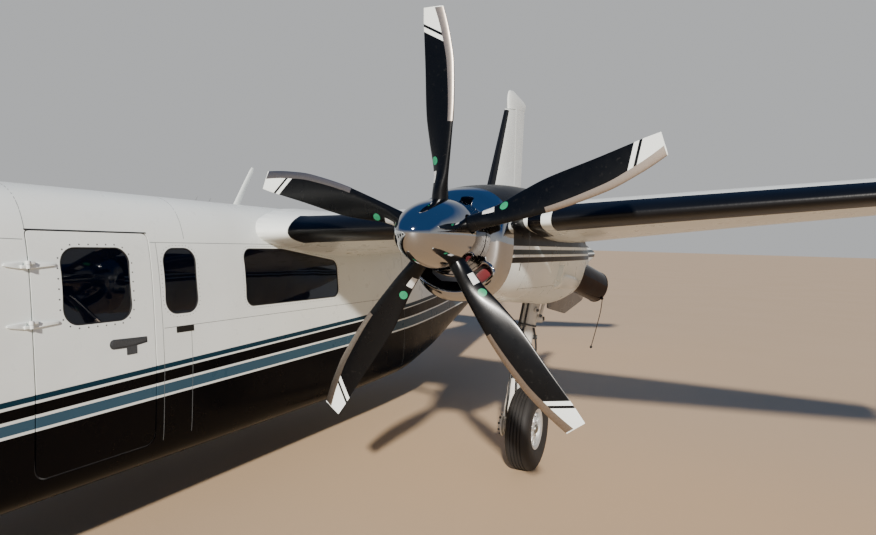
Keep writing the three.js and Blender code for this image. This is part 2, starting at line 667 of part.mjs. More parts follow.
function intakeCut(side) {
  const shape = new THREE.Shape();
  shape.absarc(0, 0, INTAKE.outer, radians(INTAKE.start), radians(INTAKE.end), false);
  shape.absarc(0, 0, INTAKE.inner, radians(INTAKE.end), radians(INTAKE.start), true);
  const geometry = new THREE.ExtrudeGeometry(shape, { depth: 400, bevelEnabled: false, curveSegments: 8 });
  geometry.rotateX(Math.PI / 2);
  return solid(geometry.translate(side * ENGINE_X, aft(COWL_BACK + 100), SHAFT_Z));
}

const EXHAUST = { start: [2530, 2150, 1558], end: [2676, 2550, 1429], across: 110, high: 135, skin: 8 };

function exhaustTube(side, grow, fromPart = 0) {
  const at = ([x, station, z]) => new THREE.Vector3(side * x, aft(station), z);
  const [start, end] = [at(EXHAUST.start), at(EXHAUST.end)];
  const along = end.clone().sub(start).normalize();
  const across = new THREE.Vector3().crossVectors(along, new THREE.Vector3(0, 0, 1)).normalize();
  const up = new THREE.Vector3().crossVectors(across, along);
  const over = fromPart > 0 ? 30 : 0;
  return loft([fromPart, 1].map((part, end01) => Array.from({ length: 20 }, (_, i) => {
    const angle = (2 * Math.PI * i) / 20;
    return start.clone().lerp(end, part).addScaledVector(along, end01 * over)
      .addScaledVector(across, (EXHAUST.across + grow) * Math.cos(angle))
      .addScaledVector(up, (EXHAUST.high + grow) * Math.sin(angle));
  })));
}

function legWell(side) {
  return loft(LEG_WELL.map(([station, half]) => [[half, 1000], [half, WELL_TOP], [-half, WELL_TOP],
    [-half, 1000]].map(([x, z]) => new THREE.Vector3(side * ENGINE_X + x, aft(station), z))));
}

function nacelles() {
  for (const [sideName, side] of SIDES) {
    const x = side * ENGINE_X;
    const engineRoom = engineSpace(side);
    const spaced = grownWing(wingKind(WING, WING_CAMBER, side));
    const shell = nacelleBetween(COWL_BACK, 4150, side).subtract(spaced.add(engineRoom)).subtract(legWell(side))
      .subtract(exhaustTube(side, SEAT_GAP, -0.002));
    piece(`nacelle_${sideName}`, shell, white());
    const shaftHole = rod([x, aft(150), SHAFT_Z], [x, aft(COWL_BACK + 50), SHAFT_Z], ENGINE.shaft + 5,
      ENGINE.shaft + 5, 20);
    const bowl = loft(BOWL.map((row) => bodyRing(row, NACELLE_POINTS, 0, x)));
    piece(`cowl_ring_${sideName}`, bowl.subtract(shaftHole).subtract(intakeCut(side)), metal(0xd8dadb, 0.15));
    const block = box([x - ENGINE.half, aft(ENGINE.front), ENGINE.low],
      [x + ENGINE.half, aft(ENGINE.back - SEAT_GAP), ENGINE.high]);
    const shaft = rod([x, aft(SPINNER.back + 3 + SEAT_GAP), SHAFT_Z], [x, aft(ENGINE.front + 20), SHAFT_Z],
      ENGINE.shaft, ENGINE.shaft, 20);
    piece(`engine_${sideName}`, block.add(shaft), metal(0x55585c, 0.5));
    const pipe = exhaustTube(side, 0).subtract(exhaustTube(side, -EXHAUST.skin, 0.25));
    piece(`exhaust_${sideName}`, pipe, metal(0x8f8a84, 0.25));
  }
}

// The wing with its seat gap all round; the edges reach a little further than the faces.
function grownWing(kind) {
  const at = (row, f, face) => kind.point(row, f, offsetAt(kind, row, f, face, f > 0 && f < 1 ? SEAT_GAP : 0));
  return loft(kind.rows.map((row) => {
    const upper = CHORD_STEPS.map((f) => at(row, f, 1));
    const lower = CHORD_STEPS.slice(1, -1).reverse().map((f) => at(row, f, -1));
    upper[0].y -= 2 * SEAT_GAP;
    upper[upper.length - 1].y += 10 * SEAT_GAP;
    return [...upper, ...lower];
  }));
}

// Propellers

// Radius, trailing edge and leading edge beside the blade's axis, thickness, pitch in degrees
const BLADE = [
  [90, -48, 48, 96, 30],
  [200, -48, 48, 92, 30],
  [353, -56, 60, 40, 21],
  [513, -84, 70, 29, 14],
  [673, -106, 76, 23, 9],
  [933, -115, 64, 15, 3],
  [1113, -125, 30, 10, 0],
  [1190, -129, 9, 8, -2],
  [1260, -130, -14, 5, -3],
];
const BLADE_POINTS = 8;

function blade() {
  return loft(BLADE.map(([radius, trailing, leading, thickness, pitch]) => {
    const middle = (leading + trailing) / 2;
    const half = (leading - trailing) / 2;
    const turn = radians(pitch);
    return Array.from({ length: BLADE_POINTS }, (_, i) => {
      const angle = (2 * Math.PI * i) / BLADE_POINTS;
      const along = half * Math.cos(angle);
      const proud = (thickness / 2) * Math.sin(angle);
      const x = middle + along * Math.cos(turn) + proud * Math.sin(turn);
      const y = -along * Math.sin(turn) + proud * Math.cos(turn);
      return new THREE.Vector3(x, y, radius);
    });
  }));
}

// The spinner's outside, [radius, distance behind the propeller disc]: half an ellipse and a short straight skirt
const SPINNER_STEPS = 6;
const SPINNER_OUTLINE = [...Array.from({ length: SPINNER_STEPS + 1 }, (_, i) => {
  const angle = (Math.PI / 2) * (i / SPINNER_STEPS);
  return [SPINNER.radius * Math.sin(angle), SPINNER.middle - SPINNER.length * Math.cos(angle)];
}), [SPINNER.radius, SPINNER.back]];

function propellers() {
  const disc = (radius, from, to) => rod([0, from, 0], [0, to, 0], radius, radius, 16);
  const turnedBlade = (k) => blade().rotate([0, (360 / BLADE_COUNT) * k, 0]);
  let propeller = disc(HUB_RADIUS, -90, SPINNER.back + 3);
  for (let k = 0; k < BLADE_COUNT; k++) propeller = propeller.add(turnedBlade(k));
  const outline = [...SPINNER_OUTLINE, [0, SPINNER.back]];
  const inside = [...SPINNER_OUTLINE.map(([radius, y]) => [Math.max(0, radius - SPINNER.skin), y + SPINNER.skin]),
    [0, 0]];
  inside[inside.length - 2][1] = SPINNER.back - SPINNER.plate;
  inside[inside.length - 1][1] = SPINNER.back - SPINNER.plate;
  let spinner = turned(outline, 'y', 18).subtract(turned(inside, 'y', 18));
  spinner = spinner.subtract(disc(HUB_RADIUS + SEAT_GAP, -100, SPINNER.back + 10));
  for (let k = 0; k < BLADE_COUNT; k++) {
    const hole = rod([0, 0, 100], [0, 0, 260], SPINNER.bladeHole, SPINNER.bladeHole, 8);
    spinner = spinner.subtract(hole.rotate([0, (360 / BLADE_COUNT) * k, 0]));
  }
  for (const [sideName, side] of SIDES) {
    for (const [name, body, material] of [['propeller', propeller, paint(0x16171a, 0.35)],
      ['spinner', spinner, metal(0xe6e8ea, 0.05)]]) {
      const mesh = new THREE.Mesh(geometryOf(body.rotate([0, PARKED_TURN[sideName], 0])), material);
      mesh.name = `${name}_${sideName}`;
      mesh.position.set(side * ENGINE_X, PROPELLER_Y, SHAFT_Z);
      aircraft.add(mesh);
    }
  }
}

// Wheels and landing gear

const facetRadius = (wheel) => wheel.radius / Math.cos(Math.PI / wheel.segments);

// Tread and side of a tyre, as parts of its radius and half width, mirrored about its middle
function tyre(wheel) {
  const full = facetRadius(wheel);
  const half = wheel.width / 2;
  const side = [[full, 0.5], [full - 12, 0.76], [full - 38, 0.95], [full * 0.77, 1], [wheel.rim + 20, 0.86],
    [wheel.rim, 0.8]];
  const right = side.map(([radius, part]) => [radius, part * half]);
  const left = side.map(([radius, part]) => [radius, -part * half]).reverse();
  return turned([...left, ...right, left[0]], 'x', wheel.segments, true);
}

function rim(wheel, bore) {
  const half = wheel.width / 2;
  const edge = wheel.rim - SEAT_GAP;
  const profile = [[bore, -half * 0.5], [bore + 34, -half * 0.5], [bore + 40, -half * 0.18],
    [edge - 26, -half * 0.18], [edge - 14, -half * 0.79], [edge, -half * 0.79], [edge, half * 0.79],
    [edge - 14, half * 0.79], [edge - 26, half * 0.18], [bore + 40, half * 0.3], [bore + 30, half * 0.9],
    [bore, half * 0.9], [bore, -half * 0.5]];
  return turned(profile, 'x', wheel.segments, true);
}

function wheelPieces(name, wheel, side, bore) {
  for (const [part, body, material] of [['tyre', tyre(wheel), paint(0x1b1b1c, 0.85)],
    ['wheel', rim(wheel, bore), metal(0xb9bcbe, 0.35)]]) {
    const mesh = new THREE.Mesh(geometryOf(body), material);
    mesh.name = `${part}_${name}`;
    mesh.position.set(side * wheel.x, aft(wheel.station), wheel.radius);
    if (side < 0) mesh.rotation.z = Math.PI;
    aircraft.add(mesh);
  }
}

const AXLE = { main: 30, nose: 16, running: 0.5 };
const STEERING = { radius: 30, running: 0.95 };
const LEG = { topX: 2335, topStation: 1920, topZ: WELL_TOP - SEAT_GAP, footX: 2160,
  footStation: MAIN_WHEEL.station };

function mainLeg(side) {
  const z = MAIN_WHEEL.radius;
  const top = [side * LEG.topX, aft(LEG.topStation), LEG.topZ];
  const foot = [side * LEG.footX, aft(LEG.footStation), z];
  const part = (f) => top.map((value, i) => value + (foot[i] - value) * f);
  const flatTop = box([side * LEG.topX - 200, aft(LEG.topStation) - 200, LEG.topZ], [side * LEG.topX + 200,
    aft(LEG.topStation) + 200, LEG.topZ + 200]);
  const cylinder = rod(part(-0.05), part(0.66), 72, 66, 12);
  const piston = rod(part(0.6), part(1.0), 42, 42, 12);
  const axle = rod([side * 2127, aft(LEG.footStation), z], [side * 2410, aft(LEG.footStation), z],
    AXLE.main, AXLE.main, 12);
  const shoulder = rod([side * 2112, aft(LEG.footStation), z], [side * 2214, aft(LEG.footStation), z], 62, 62, 12);
  const brake = box([side * LEG.footX - 30, aft(LEG.footStation) - 150, z - 40],
    [side * LEG.footX + 50, aft(LEG.footStation) + 20, z + 60]);
  const middle = part(0.8);
  const upperLink = rod([part(0.62)[0], part(0.62)[1] + 60, part(0.62)[2]],
    [middle[0], middle[1] + 210, middle[2] - 20], 22, 16, 8);
  const lowerLink = rod([middle[0], middle[1] + 210, middle[2] - 20], [foot[0], foot[1] + 30, foot[2] + 20], 16, 22, 8);
  return cylinder.add(piston).add(shoulder).add(axle).add(brake).add(upperLink).add(lowerLink).subtract(flatTop);
}

const GEAR_DOOR = { half: 120, skin: 14 };
// The door's outline: [station, z]; its upper edge lies on the nacelle's skin
const GEAR_DOOR_OUTLINE = [[1880, 1640], [1880, 1285], [1920, 1270], [2450, 1184], [3150, 1257], [3300, 1400],
  [3300, 1640]];

function mainDoor(side) {
  const x = side * (ENGINE_X + GEAR_DOOR.half);
  return sidePrism(placed(GEAR_DOOR_OUTLINE), x - GEAR_DOOR.skin / 2, x + GEAR_DOOR.skin / 2)
    .subtract(nacelleBetween(1500, 3600, side, -SEAT_GAP)).subtract(exhaustTube(side, SEAT_GAP, -0.5));
}

function noseGear() {
  const [z, y] = [NOSE_WHEEL.radius, aft(NOSE_WHEEL.station)];
  const steer = aft(STEER_STATION);
  const hole = STEERING.radius + STEERING.running;
  const strut = rod([0, steer, 520], [0, steer, 900 - SEAT_GAP], 55, 62, 16)
    .subtract(rod([0, steer, 400], [0, steer, 720], hole, hole, 16));
  piece('nose_leg', strut, metal(0xdfe1e2, 0.4));
  const crown = box([-112, steer - 45, 470], [112, steer + 60, 505]);
  const piston = rod([0, steer, 480], [0, steer, 700], STEERING.radius, STEERING.radius, 16);
  let fork = crown.add(piston);
  for (const side of [1, -1]) {
    fork = fork.add(rod([side * 97, steer + 10, 490], [side * 97, y, z], 15, 20, 10));
  }
  const axle = rod([-112, y, z], [112, y, z], AXLE.nose, AXLE.nose, 16);
  piece('nose_fork', fork.add(axle), metal(0xdfe1e2, 0.4));
  for (const [sideName, side] of SIDES) {
    const outline = placed([[-4040, 760], [-4040, 470], [-3960, 430], [-3560, 430], [-3480, 470], [-3480, 760]]);
    const door = sidePrism(outline, side * 163, side * 173)
      .subtract(bodyBetween(FUSELAGE, -4500, -3110, { inset: -SEAT_GAP }));
    piece(`nose_door_${sideName}`, door, white());
  }
}

function landingGear() {
  for (const [sideName, side] of SIDES) {
    piece(`main_leg_${sideName}`, mainLeg(side), metal(0xdfe1e2, 0.4));
    piece(`gear_door_${sideName}`, mainDoor(side), paint(0x9da2a5, 0.5));
    wheelPieces(sideName, MAIN_WHEEL, side, AXLE.main + AXLE.running);
  }
  noseGear();
  wheelPieces('nose', NOSE_WHEEL, 1, AXLE.nose + AXLE.running);
}

fuselage();
wings();
tail();
nacelles();
propellers();
landingGear();

hinges.steering = [400, 700].map((z) => new THREE.Vector3(0, aft(STEER_STATION), z));
aircraft.userData.hinges = hinges;

export default aircraft;
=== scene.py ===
import json
import math

import bmesh
import bpy
import numpy as np
from bpy.props import FloatProperty, FloatVectorProperty, IntProperty, PointerProperty
from mathutils import Matrix, Vector
from mathutils.bvhtree import BVHTree


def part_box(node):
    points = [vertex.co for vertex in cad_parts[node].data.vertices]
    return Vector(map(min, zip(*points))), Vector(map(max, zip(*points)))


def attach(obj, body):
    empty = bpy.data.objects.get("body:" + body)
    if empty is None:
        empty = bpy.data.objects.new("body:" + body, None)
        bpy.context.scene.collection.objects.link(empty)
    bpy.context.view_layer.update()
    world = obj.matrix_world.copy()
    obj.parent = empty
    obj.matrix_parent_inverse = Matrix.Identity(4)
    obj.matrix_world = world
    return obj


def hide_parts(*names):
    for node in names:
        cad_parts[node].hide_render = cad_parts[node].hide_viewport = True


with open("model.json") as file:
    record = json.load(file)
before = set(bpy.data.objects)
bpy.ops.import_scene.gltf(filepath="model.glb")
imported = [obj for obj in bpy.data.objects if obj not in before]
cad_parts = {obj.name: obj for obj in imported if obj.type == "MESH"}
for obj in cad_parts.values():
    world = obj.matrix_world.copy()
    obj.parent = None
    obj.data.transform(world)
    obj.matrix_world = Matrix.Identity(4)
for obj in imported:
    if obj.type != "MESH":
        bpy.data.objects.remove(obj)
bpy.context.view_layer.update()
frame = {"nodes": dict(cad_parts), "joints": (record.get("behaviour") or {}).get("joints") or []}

bl_info = {
    "name": "Twin turboprop aircraft",
    "version": (1, 0, 0),
    "blender": (4, 5, 0),
    "location": "3D View > Sidebar > Aircraft",
    "description": "Dresses the frame of a high-wing twin turboprop with skins, glass, propellers and gear",
    "category": "Object",
}

# Sizes are metres. The nose points along -Y, the left wing along +X and +Z is up.
# A station is a distance behind the propeller discs. aft() turns it into a y value.
SIDES = (("left", 1), ("right", -1))
JOINTS = {joint["name"]: joint for joint in frame["joints"]}
HUB = Vector(JOINTS["propeller_left_spin"]["pos_m"])
ENGINE_X = HUB.x
PROPELLER_Y = HUB.y
SHAFT_Z = HUB.z


def aft(station):
    return PROPELLER_Y + station


def framed(first, bottom, last, top, radius):
    """A rectangular outline as [station, height, corner radius]."""
    return [(first, bottom, radius), (last, bottom, radius), (last, top, radius), (first, top, radius)]


# Round bodies, as in the frame: station, half width, top, bottom, height of the widest point,
# corner power, lean of the sides
FUSELAGE = [
    (-4.62, 0.025, 1.045, 0.995, 1.020, 2.0, 0),
    (-4.56, 0.095, 1.110, 0.915, 1.012, 2.0, 0),
    (-4.30, 0.235, 1.225, 0.800, 1.000, 2.1, 0),
    (-3.90, 0.385, 1.350, 0.680, 0.975, 2.3, 0),
    (-3.50, 0.500, 1.440, 0.580, 0.950, 2.6, 0.02),
    (-3.10, 0.590, 1.515, 0.500, 0.920, 3.0, 0.04),
    (-2.70, 0.655, 1.735, 0.440, 0.890, 3.4, 0.06),
    (-2.33, 0.705, 1.945, 0.405, 0.870, 3.8, 0.08),
    (-1.95, 0.735, 2.015, 0.385, 0.860, 4.6, 0.1),
    (-1.50, 0.750, 2.040, 0.372, 0.850, 6.0, 0.107),
    (1.60, 0.750, 2.030, 0.370, 0.850, 6.0, 0.107),
    (2.60, 0.738, 2.025, 0.380, 0.860, 5.2, 0.1),
    (3.40, 0.670, 2.015, 0.470, 0.900, 4.2, 0.09),
    (4.50, 0.525, 2.000, 0.690, 1.050, 3.4, 0.06),
    (5.70, 0.370, 1.980, 0.960, 1.300, 2.8, 0.03),
    (6.90, 0.235, 1.950, 1.260, 1.560, 2.4, 0),
    (8.00, 0.130, 1.890, 1.500, 1.700, 2.2, 0),
    (8.70, 0.060, 1.800, 1.620, 1.710, 2.0, 0),
    (8.90, 0.018, 1.738, 1.702, 1.720, 2.0, 0),
]
NACELLE = [
    (0.35, 0.321, 2.120, 1.425, 1.787, 2.42, 0),
    (0.60, 0.336, 2.157, 1.405, 1.775, 2.5, 0),
    (0.90, 0.346, 2.184, 1.388, 1.765, 2.6, 0),
    (1.25, 0.354, 2.194, 1.368, 1.755, 2.7, 0),
    (1.80, 0.360, 2.170, 1.312, 1.700, 2.8, 0),
    (2.30, 0.342, 2.085, 1.322, 1.600, 2.1, 0),
    (2.90, 0.215, 1.930, 1.420, 1.620, 2.2, 0),
    (3.60, 0.080, 1.830, 1.560, 1.660, 2.0, 0),
    (4.15, 0.030, 1.745, 1.655, 1.700, 2.0, 0),
]
COWL = [
    (0.205, 0.225, 2.018, 1.500, 1.815, 2.05, 0),
    (0.209, 0.250, 2.036, 1.482, 1.810, 2.1, 0),
    (0.218, 0.276, 2.056, 1.465, 1.806, 2.15, 0),
    (0.235, 0.293, 2.074, 1.451, 1.801, 2.25, 0),
    (0.262, 0.307, 2.092, 1.438, 1.795, 2.33, 0),
    (0.300, 0.315, 2.106, 1.431, 1.791, 2.38, 0),
    (0.3497, 0.321, 2.120, 1.425, 1.787, 2.42, 0),
]
# The sides lean inwards above this height
LEAN_START = 1.0
TAIL_END = FUSELAGE[-1][0]
CABIN_FRONT, CABIN_BACK = -3.10, 2.60
CABIN_WALL = 0.045
GLASS_INSET, GLASS_THICKNESS, GLASS_GAP = 0.004, 0.008, 0.0003
# How far the window cuts reach through the skin: from the centre line, and in stations for the windscreens
WINDOW_CUT, WINDSCREEN_CUT = (0.3, 0.9), (-3.35, -1.98)
NOSE_BAY = ((-0.15, aft(-4.05), 0.30), (0.15, aft(-3.12), 0.90))

# Lifting surfaces: distance from the centre line, leading edge station, chord, leading edge height,
# thickness as a part of the chord, incidence in degrees
WING = [
    (0.60, 0.415, 2.725, 1.818, 0.138, 2.42),
    (0.90, 0.530, 2.462, 1.841, 0.12, 2.6),
    (2.30, 0.530, 2.096, 1.900, 0.12, 2.8),
    (6.90, 0.530, 0.895, 2.273, 0.12, -0.8),
    (7.06, 0.575, 0.800, 2.286, 0.10, -1.0),
    (7.11, 0.680, 0.560, 2.292, 0.05, -1.0),
]
TAILPLANE = [
    (0.10, 6.797, 1.450, 1.738, 0.11, 0),
    (2.88, 7.230, 0.790, 2.228, 0.10, 0),
    (2.97, 7.270, 0.700, 2.244, 0.08, 0),
    (3.01, 7.380, 0.500, 2.251, 0.05, 0),
]
FIN = [
    (1.80, 6.350, 2.195, 0, 0.10, 0),
    (2.82, 6.890, 1.722, 0, 0.095, 0),
    (4.40, 7.724, 0.982, 0, 0.095, 0),
]
WING_CAMBER, CAMBER_PEAK = 0.018, 0.15
# Inner end, outer end, end clearance, hinge line as a part of the chord, reach of the two lips
FLAP_INNER = (0.922, 1.908, 0.020, 0.72, 0.05, 0.75)
FLAP_OUTER = (2.714, 4.566, 0.015, 0.72, 0.05, 0.75)
AILERON = (4.598, 6.852, 0.011, 0.74, 0.4, 0.4)
ELEVATOR = (0.296, 2.882, 0.014, 0.62, 0.45, 0.45)
NOSE_GAP = 0.008

# Propeller blade: radius, trailing and leading edge beside the blade's axis, thickness, pitch in degrees
BLADE = [
    (0.090, -0.048, 0.048, 0.096, 30),
    (0.200, -0.048, 0.048, 0.092, 30),
    (0.353, -0.056, 0.060, 0.040, 21),
    (0.513, -0.084, 0.070, 0.029, 14),
    (0.673, -0.106, 0.076, 0.023, 9),
    (0.933, -0.115, 0.064, 0.015, 3),
    (1.113, -0.125, 0.030, 0.010, 0),
    (1.190, -0.129, 0.009, 0.008, -2),
    (1.260, -0.130, -0.014, 0.005, -3),
]
BLADE_COUNT = 5
SPINNER = {"radius": 0.203, "length": 0.495, "middle": 0.090, "back": 0.197}
SPINNER_SCREWS = 40
# How far each propeller is turned from one blade straight up
PARKED_TURN = {"left": 0, "right": math.radians(20)}

# Openings in the skin: corners as [station or x, height, corner radius]
DOOR = [(-1.260, 0.560, 0.06), (-0.545, 0.560, 0.06), (-0.545, 1.786, 0.035), (-1.260, 1.786, 0.02)]
DOOR_GAP, DOOR_BEVEL = 0.008, 8
WINDOWS = {
    "forward": framed(-1.100, 1.303, -0.690, 1.703, 0.085),
    "middle": framed(-0.448, 1.307, -0.193, 1.703, 0.085),
    "rear": [(0.255, 1.303, 0.07), (1.397, 1.303, 0.07), (1.397, 1.603, 0.07), (0.680, 1.702, 0.6),
             (0.255, 1.703, 0.07)],
    "cockpit": [(-2.345, 1.330, 0.05), (-1.470, 1.288, 0.06), (-1.470, 1.738, 0.06), (-2.030, 1.738, 0.12),
                (-2.345, 1.400, 0.03)],
}
WINDSCREEN = [(0.028, 1.590, 0.02), (0.420, 1.558, 0.1), (0.548, 1.600, 0.05), (0.470, 1.800, 0.12),
              (0.390, 1.890, 0.1), (0.028, 1.915, 0.02)]

# Paint lines on the fuselage side: height at STRIPE_FRONT, rise for each metre aft, colour below the line
STRIPE_FRONT = aft(-1.4)
STRIPES = [
    (0.9823, 0.0378, "teal"),
    (0.9543, 0.0362, "white"),
    (0.9398, 0.0374, "black"),
    (0.8862, 0.0281, "white"),
    (0.8708, 0.0282, "blue"),
    (0.8188, 0.0198, "white"),
    (0.8044, 0.0198, "black"),
]
STRIPE_SWEEP = (aft(1.6), 0.008)
# Paint lines on the nacelle: height, colour below the line
NACELLE_LINES = [(1.775, "white"), (1.753, "band"), (1.722, "white"), (1.706, "black"), (1.672, "white")]


def linear(code):
    """An sRGB hex colour such as #c4c7c4 as linear red, green and blue."""
    parts = [int(code[i:i + 2], 16) / 255 for i in (1, 3, 5)]
    return tuple(c / 12.92 if c <= 0.04045 else ((c + 0.055) / 1.055) ** 2.4 for c in parts)


def colour_setting(name, code, description):
    return FloatVectorProperty(name=name, description=description, default=linear(code), subtype="COLOR",
                               size=3, min=0, max=1)


def length_setting(name, default, description):
    return FloatProperty(name=name, description=description, default=default, unit="LENGTH", min=0)


class AircraftColours(bpy.types.PropertyGroup):
    """Colours of the paints and trims"""

    white: colour_setting("White", "#eaf0ed", "Upper fuselage, wings and tail")
    black: colour_setting("Black", "#040406", "Belly, nacelle tops and stripes")
    teal: colour_setting("Teal", "#0e2f3e", "Uppermost fuselage stripe")
    blue: colour_setting("Steel blue", "#365263", "Broad lower fuselage stripe")
    band: colour_setting("Nacelle band", "#223238", "Dark band along the nacelle")
    blade: colour_setting("Blade black", "#060709", "Propeller blades")
    blade_mark: colour_setting("Blade mark", "#128a5e", "Round mark near each blade's root")
    # The plug's deep dark red is partly painted shade, for the shadow deep in the intake
    plug: colour_setting("Intake plug", "#5c0812", "Plug in the engine's air intake")
    trim: colour_setting("Cabin trim", "#5d5a55", "Cabin lining")
    leather: colour_setting("Seat leather", "#3c3530", "Seat covers")
    floor: colour_setting("Studio floor", "#c3a888", "The floor that the aircraft stands on")


class AircraftSizes(bpy.types.PropertyGroup):
    """Sizes of what is painted and fastened on the aircraft"""

    tip_white: length_setting("White tip", 0.125, "Length of the white end of a blade")
    tip_black: length_setting("Black ring", 0.016, "Black ring inside the white end")
    tip_ring: length_setting("White ring", 0.026, "Inner white ring of a blade")
    seam: length_setting("Seam width", 0.0030, "Width of a skin lap or panel seam")
    rivet: length_setting("Rivet radius", 0.0032, "Radius of a rivet head on the skin")
    screw: length_setting("Screw radius", 0.0048, "Radius of a window frame screw")
    rivet_pitch: length_setting("Rivet pitch", 0.034, "Distance between rivets in a row")
    ring_points: IntProperty(name="Ring points", description="Points round the fuselage", default=144, min=48)


def sizes():
    return bpy.context.scene.aircraft_sizes


def colours():
    return bpy.context.scene.aircraft_colours


# Curves through tables

def smooth_rows(rows, places):
    """Monotone cubic through the rows' columns at the given places of their first column."""
    rows = np.array(rows, float)
    at = np.clip(np.atleast_1d(np.asarray(places, float)), rows[0, 0], rows[-1, 0])
    step = np.diff(rows[:, 0])[:, None]
    slope = np.diff(rows, axis=0) / step
    before, after = slope[:-1], slope[1:]
    same = before * after > 0
    safe_before, safe_after = np.where(same, before, 1), np.where(same, after, 1)
    near, far = 2 * step[1:] + step[:-1], step[1:] + 2 * step[:-1]
    inner = np.where(same, (near + far) / (near / safe_before + far / safe_after), 0)
    tangent = np.vstack([slope[:1], inner, slope[-1:]])
    i = np.clip(np.searchsorted(rows[:, 0], at, side="right") - 1, 0, len(rows) - 2)
    t = ((at - rows[i, 0]) / step[i, 0])[:, None]
    return ((2 * t**3 - 3 * t**2 + 1) * rows[i] + (t**3 - 2 * t**2 + t) * step[i] * tangent[i]
            + (3 * t**2 - 2 * t**3) * rows[i + 1] + (t**3 - t**2) * step[i] * tangent[i + 1])


def straight_rows(rows, places):
    """Straight lines through the rows' columns at the given places of their first column."""
    rows = np.array(rows, float)
    return np.stack([np.interp(places, rows[:, 0], column) for column in rows.T], axis=1)


def tipped_rows(rows, main, step):
    """Rows of a lifting surface: straight as far as row main, then rounded off to the tip."""
    inner = rows[:main + 1]
    spans = np.arange(inner[0][0], inner[-1][0], step)
    spans = sorted(set(np.round(np.append(spans, [row[0] for row in inner]), 4)))
    tip = [rows[main][0] + (rows[-1][0] - rows[main][0]) * math.sin(k * math.pi / 16) for k in range(1, 9)]
    return np.vstack([straight_rows(inner, spans), smooth_rows(rows[main:], tip)])


# Points on the round bodies

def turns(count):
    """Angles at an even pitch round a circle."""
    return np.linspace(0, 2 * np.pi, count, endpoint=False)


def section(row, count, inset=0.0, x=0.0):
    """A ring of points round a body, closer together where it bends, from the top round by the left."""
    station, half, top, bottom, widest, power, lean = row
    turn = turns(1440)

    def place(angle):
        across, up = np.sin(angle), np.cos(angle)
        reach = (np.abs(across) ** power + np.abs(up) ** power) ** (-1 / power)
        z = widest + (np.where(up > 0, top - widest, widest - bottom) - inset) * reach * up
        tilt = 1 - lean * np.maximum(0, z - LEAN_START)
        return np.stack([(half - inset) * tilt * reach * across, z], axis=1)

    flat = place(turn)
    edge = np.roll(flat, -1, axis=0) - flat
    length = np.linalg.norm(edge, axis=1)
    heading = np.unwrap(np.arctan2(edge[:, 1], edge[:, 0]))
    bend = np.abs(np.diff(heading, append=heading[0] - 2 * np.pi))
    weight = np.concatenate([[0], np.cumsum(length / length.sum() + bend / bend.sum())])
    even = np.arange(count) * weight[-1] / count
    chosen = place(np.interp(even, weight, np.append(turn, 2 * np.pi)))
    return np.stack([x + chosen[:, 0], np.full(count, aft(station)), chosen[:, 1]], axis=1)


def body_rings(rows, stations, count, inset=0.0, x=0.0):
    return np.array([section(row, count, inset, x) for row in smooth_rows(rows, stations)])


def spread(first, last, step):
    return np.linspace(first, last, max(2, int(round(abs(last - first) / step)) + 1))


def skin_x(station, z, rows=FUSELAGE):
    """Half width of a body's skin at a station and a height."""
    station, half, top, bottom, widest, power, lean = smooth_rows(rows, station).T
    z = np.asarray(z, float)
    up = np.clip(np.abs(z - widest) / np.where(z > widest, top - widest, widest - bottom), 0, 1)
    return half * (1 - lean * np.maximum(0, z - LEAN_START)) * (1 - up**power) ** (1 / power)


# Points on wings and tail surfaces

def camber(f, most):
    p = CAMBER_PEAK
    front = most / p**2 * (2 * p * f - f * f)
    back = most / (1 - p) ** 2 * (1 - 2 * p + 2 * p * f - f * f)
    return np.where(f < p, front, back)


def half_thickness(f, thickness):
    f = np.clip(f, 0, 1)
    return 5 * thickness * (0.2969 * np.sqrt(f) - 0.126 * f - 0.3516 * f**2 + 0.2843 * f**3 - 0.1036 * f**4)


class Surface:
    """A wing, tailplane or fin: its rows, its camber and where a point of a section lies."""

    def __init__(self, rows, most=0.0, side=1, upright=False):
        self.rows, self.most, self.side, self.upright = rows, most, side, upright

    def offset(self, row, f, face, grow=0.0):
        return row[2] * (camber(f, self.most) + face * half_thickness(f, row[4])) + face * grow

    def point(self, row, f, offset):
        f, offset = np.broadcast_arrays(np.asarray(f, float), np.asarray(offset, float))
        span, lead, chord, height, _, incidence = row
        tilt = math.radians(incidence)
        if self.upright:
            return np.stack([offset, aft(lead + chord * f), np.full(f.shape, span)], axis=-1)
        y = aft(lead + chord * f * math.cos(tilt) + offset * math.sin(tilt))
        z = height - chord * f * math.sin(tilt) + offset * math.cos(tilt)
        return np.stack([np.full(f.shape, self.side * span), y, z], axis=-1)

    def ring(self, row, steps=26, grow=0.0):
        """The whole section, from the trailing edge over the top and back below."""
        f = 0.5 * (1 + np.cos(np.linspace(0, np.pi, steps)))
        upper = self.point(row, f, self.offset(row, f, 1, grow))
        lower = self.point(row, f[-2:0:-1], self.offset(row, f[-2:0:-1], -1, grow))
        return np.vstack([upper, lower])


# Meshes

def loft_faces(rings, count, closed_round=True, closed_along=False):
    """Four-sided faces between rings of count points."""
    faces = []
    for r in range(rings if closed_along else rings - 1):
        n = (r + 1) % rings
        for i in range(count if closed_round else count - 1):
            j = (i + 1) % count
            faces.append((r * count + i, r * count + j, n * count + j, n * count + i))
    return faces


def lofted(rings, ends=True):
    """Vertices and faces of a skin through rings of equally many points."""
    rings = np.asarray(rings, float)
    count = rings.shape[1]
    vertices = rings.reshape(-1, 3)
    faces = loft_faces(len(rings), count)
    if ends:
        for ring in (0, len(rings) - 1):
            vertices = np.vstack([vertices, rings[ring].mean(axis=0)])
            middle = len(vertices) - 1
            faces += [(ring * count + i, ring * count + (i + 1) % count, middle) for i in range(count)]
    return vertices, faces


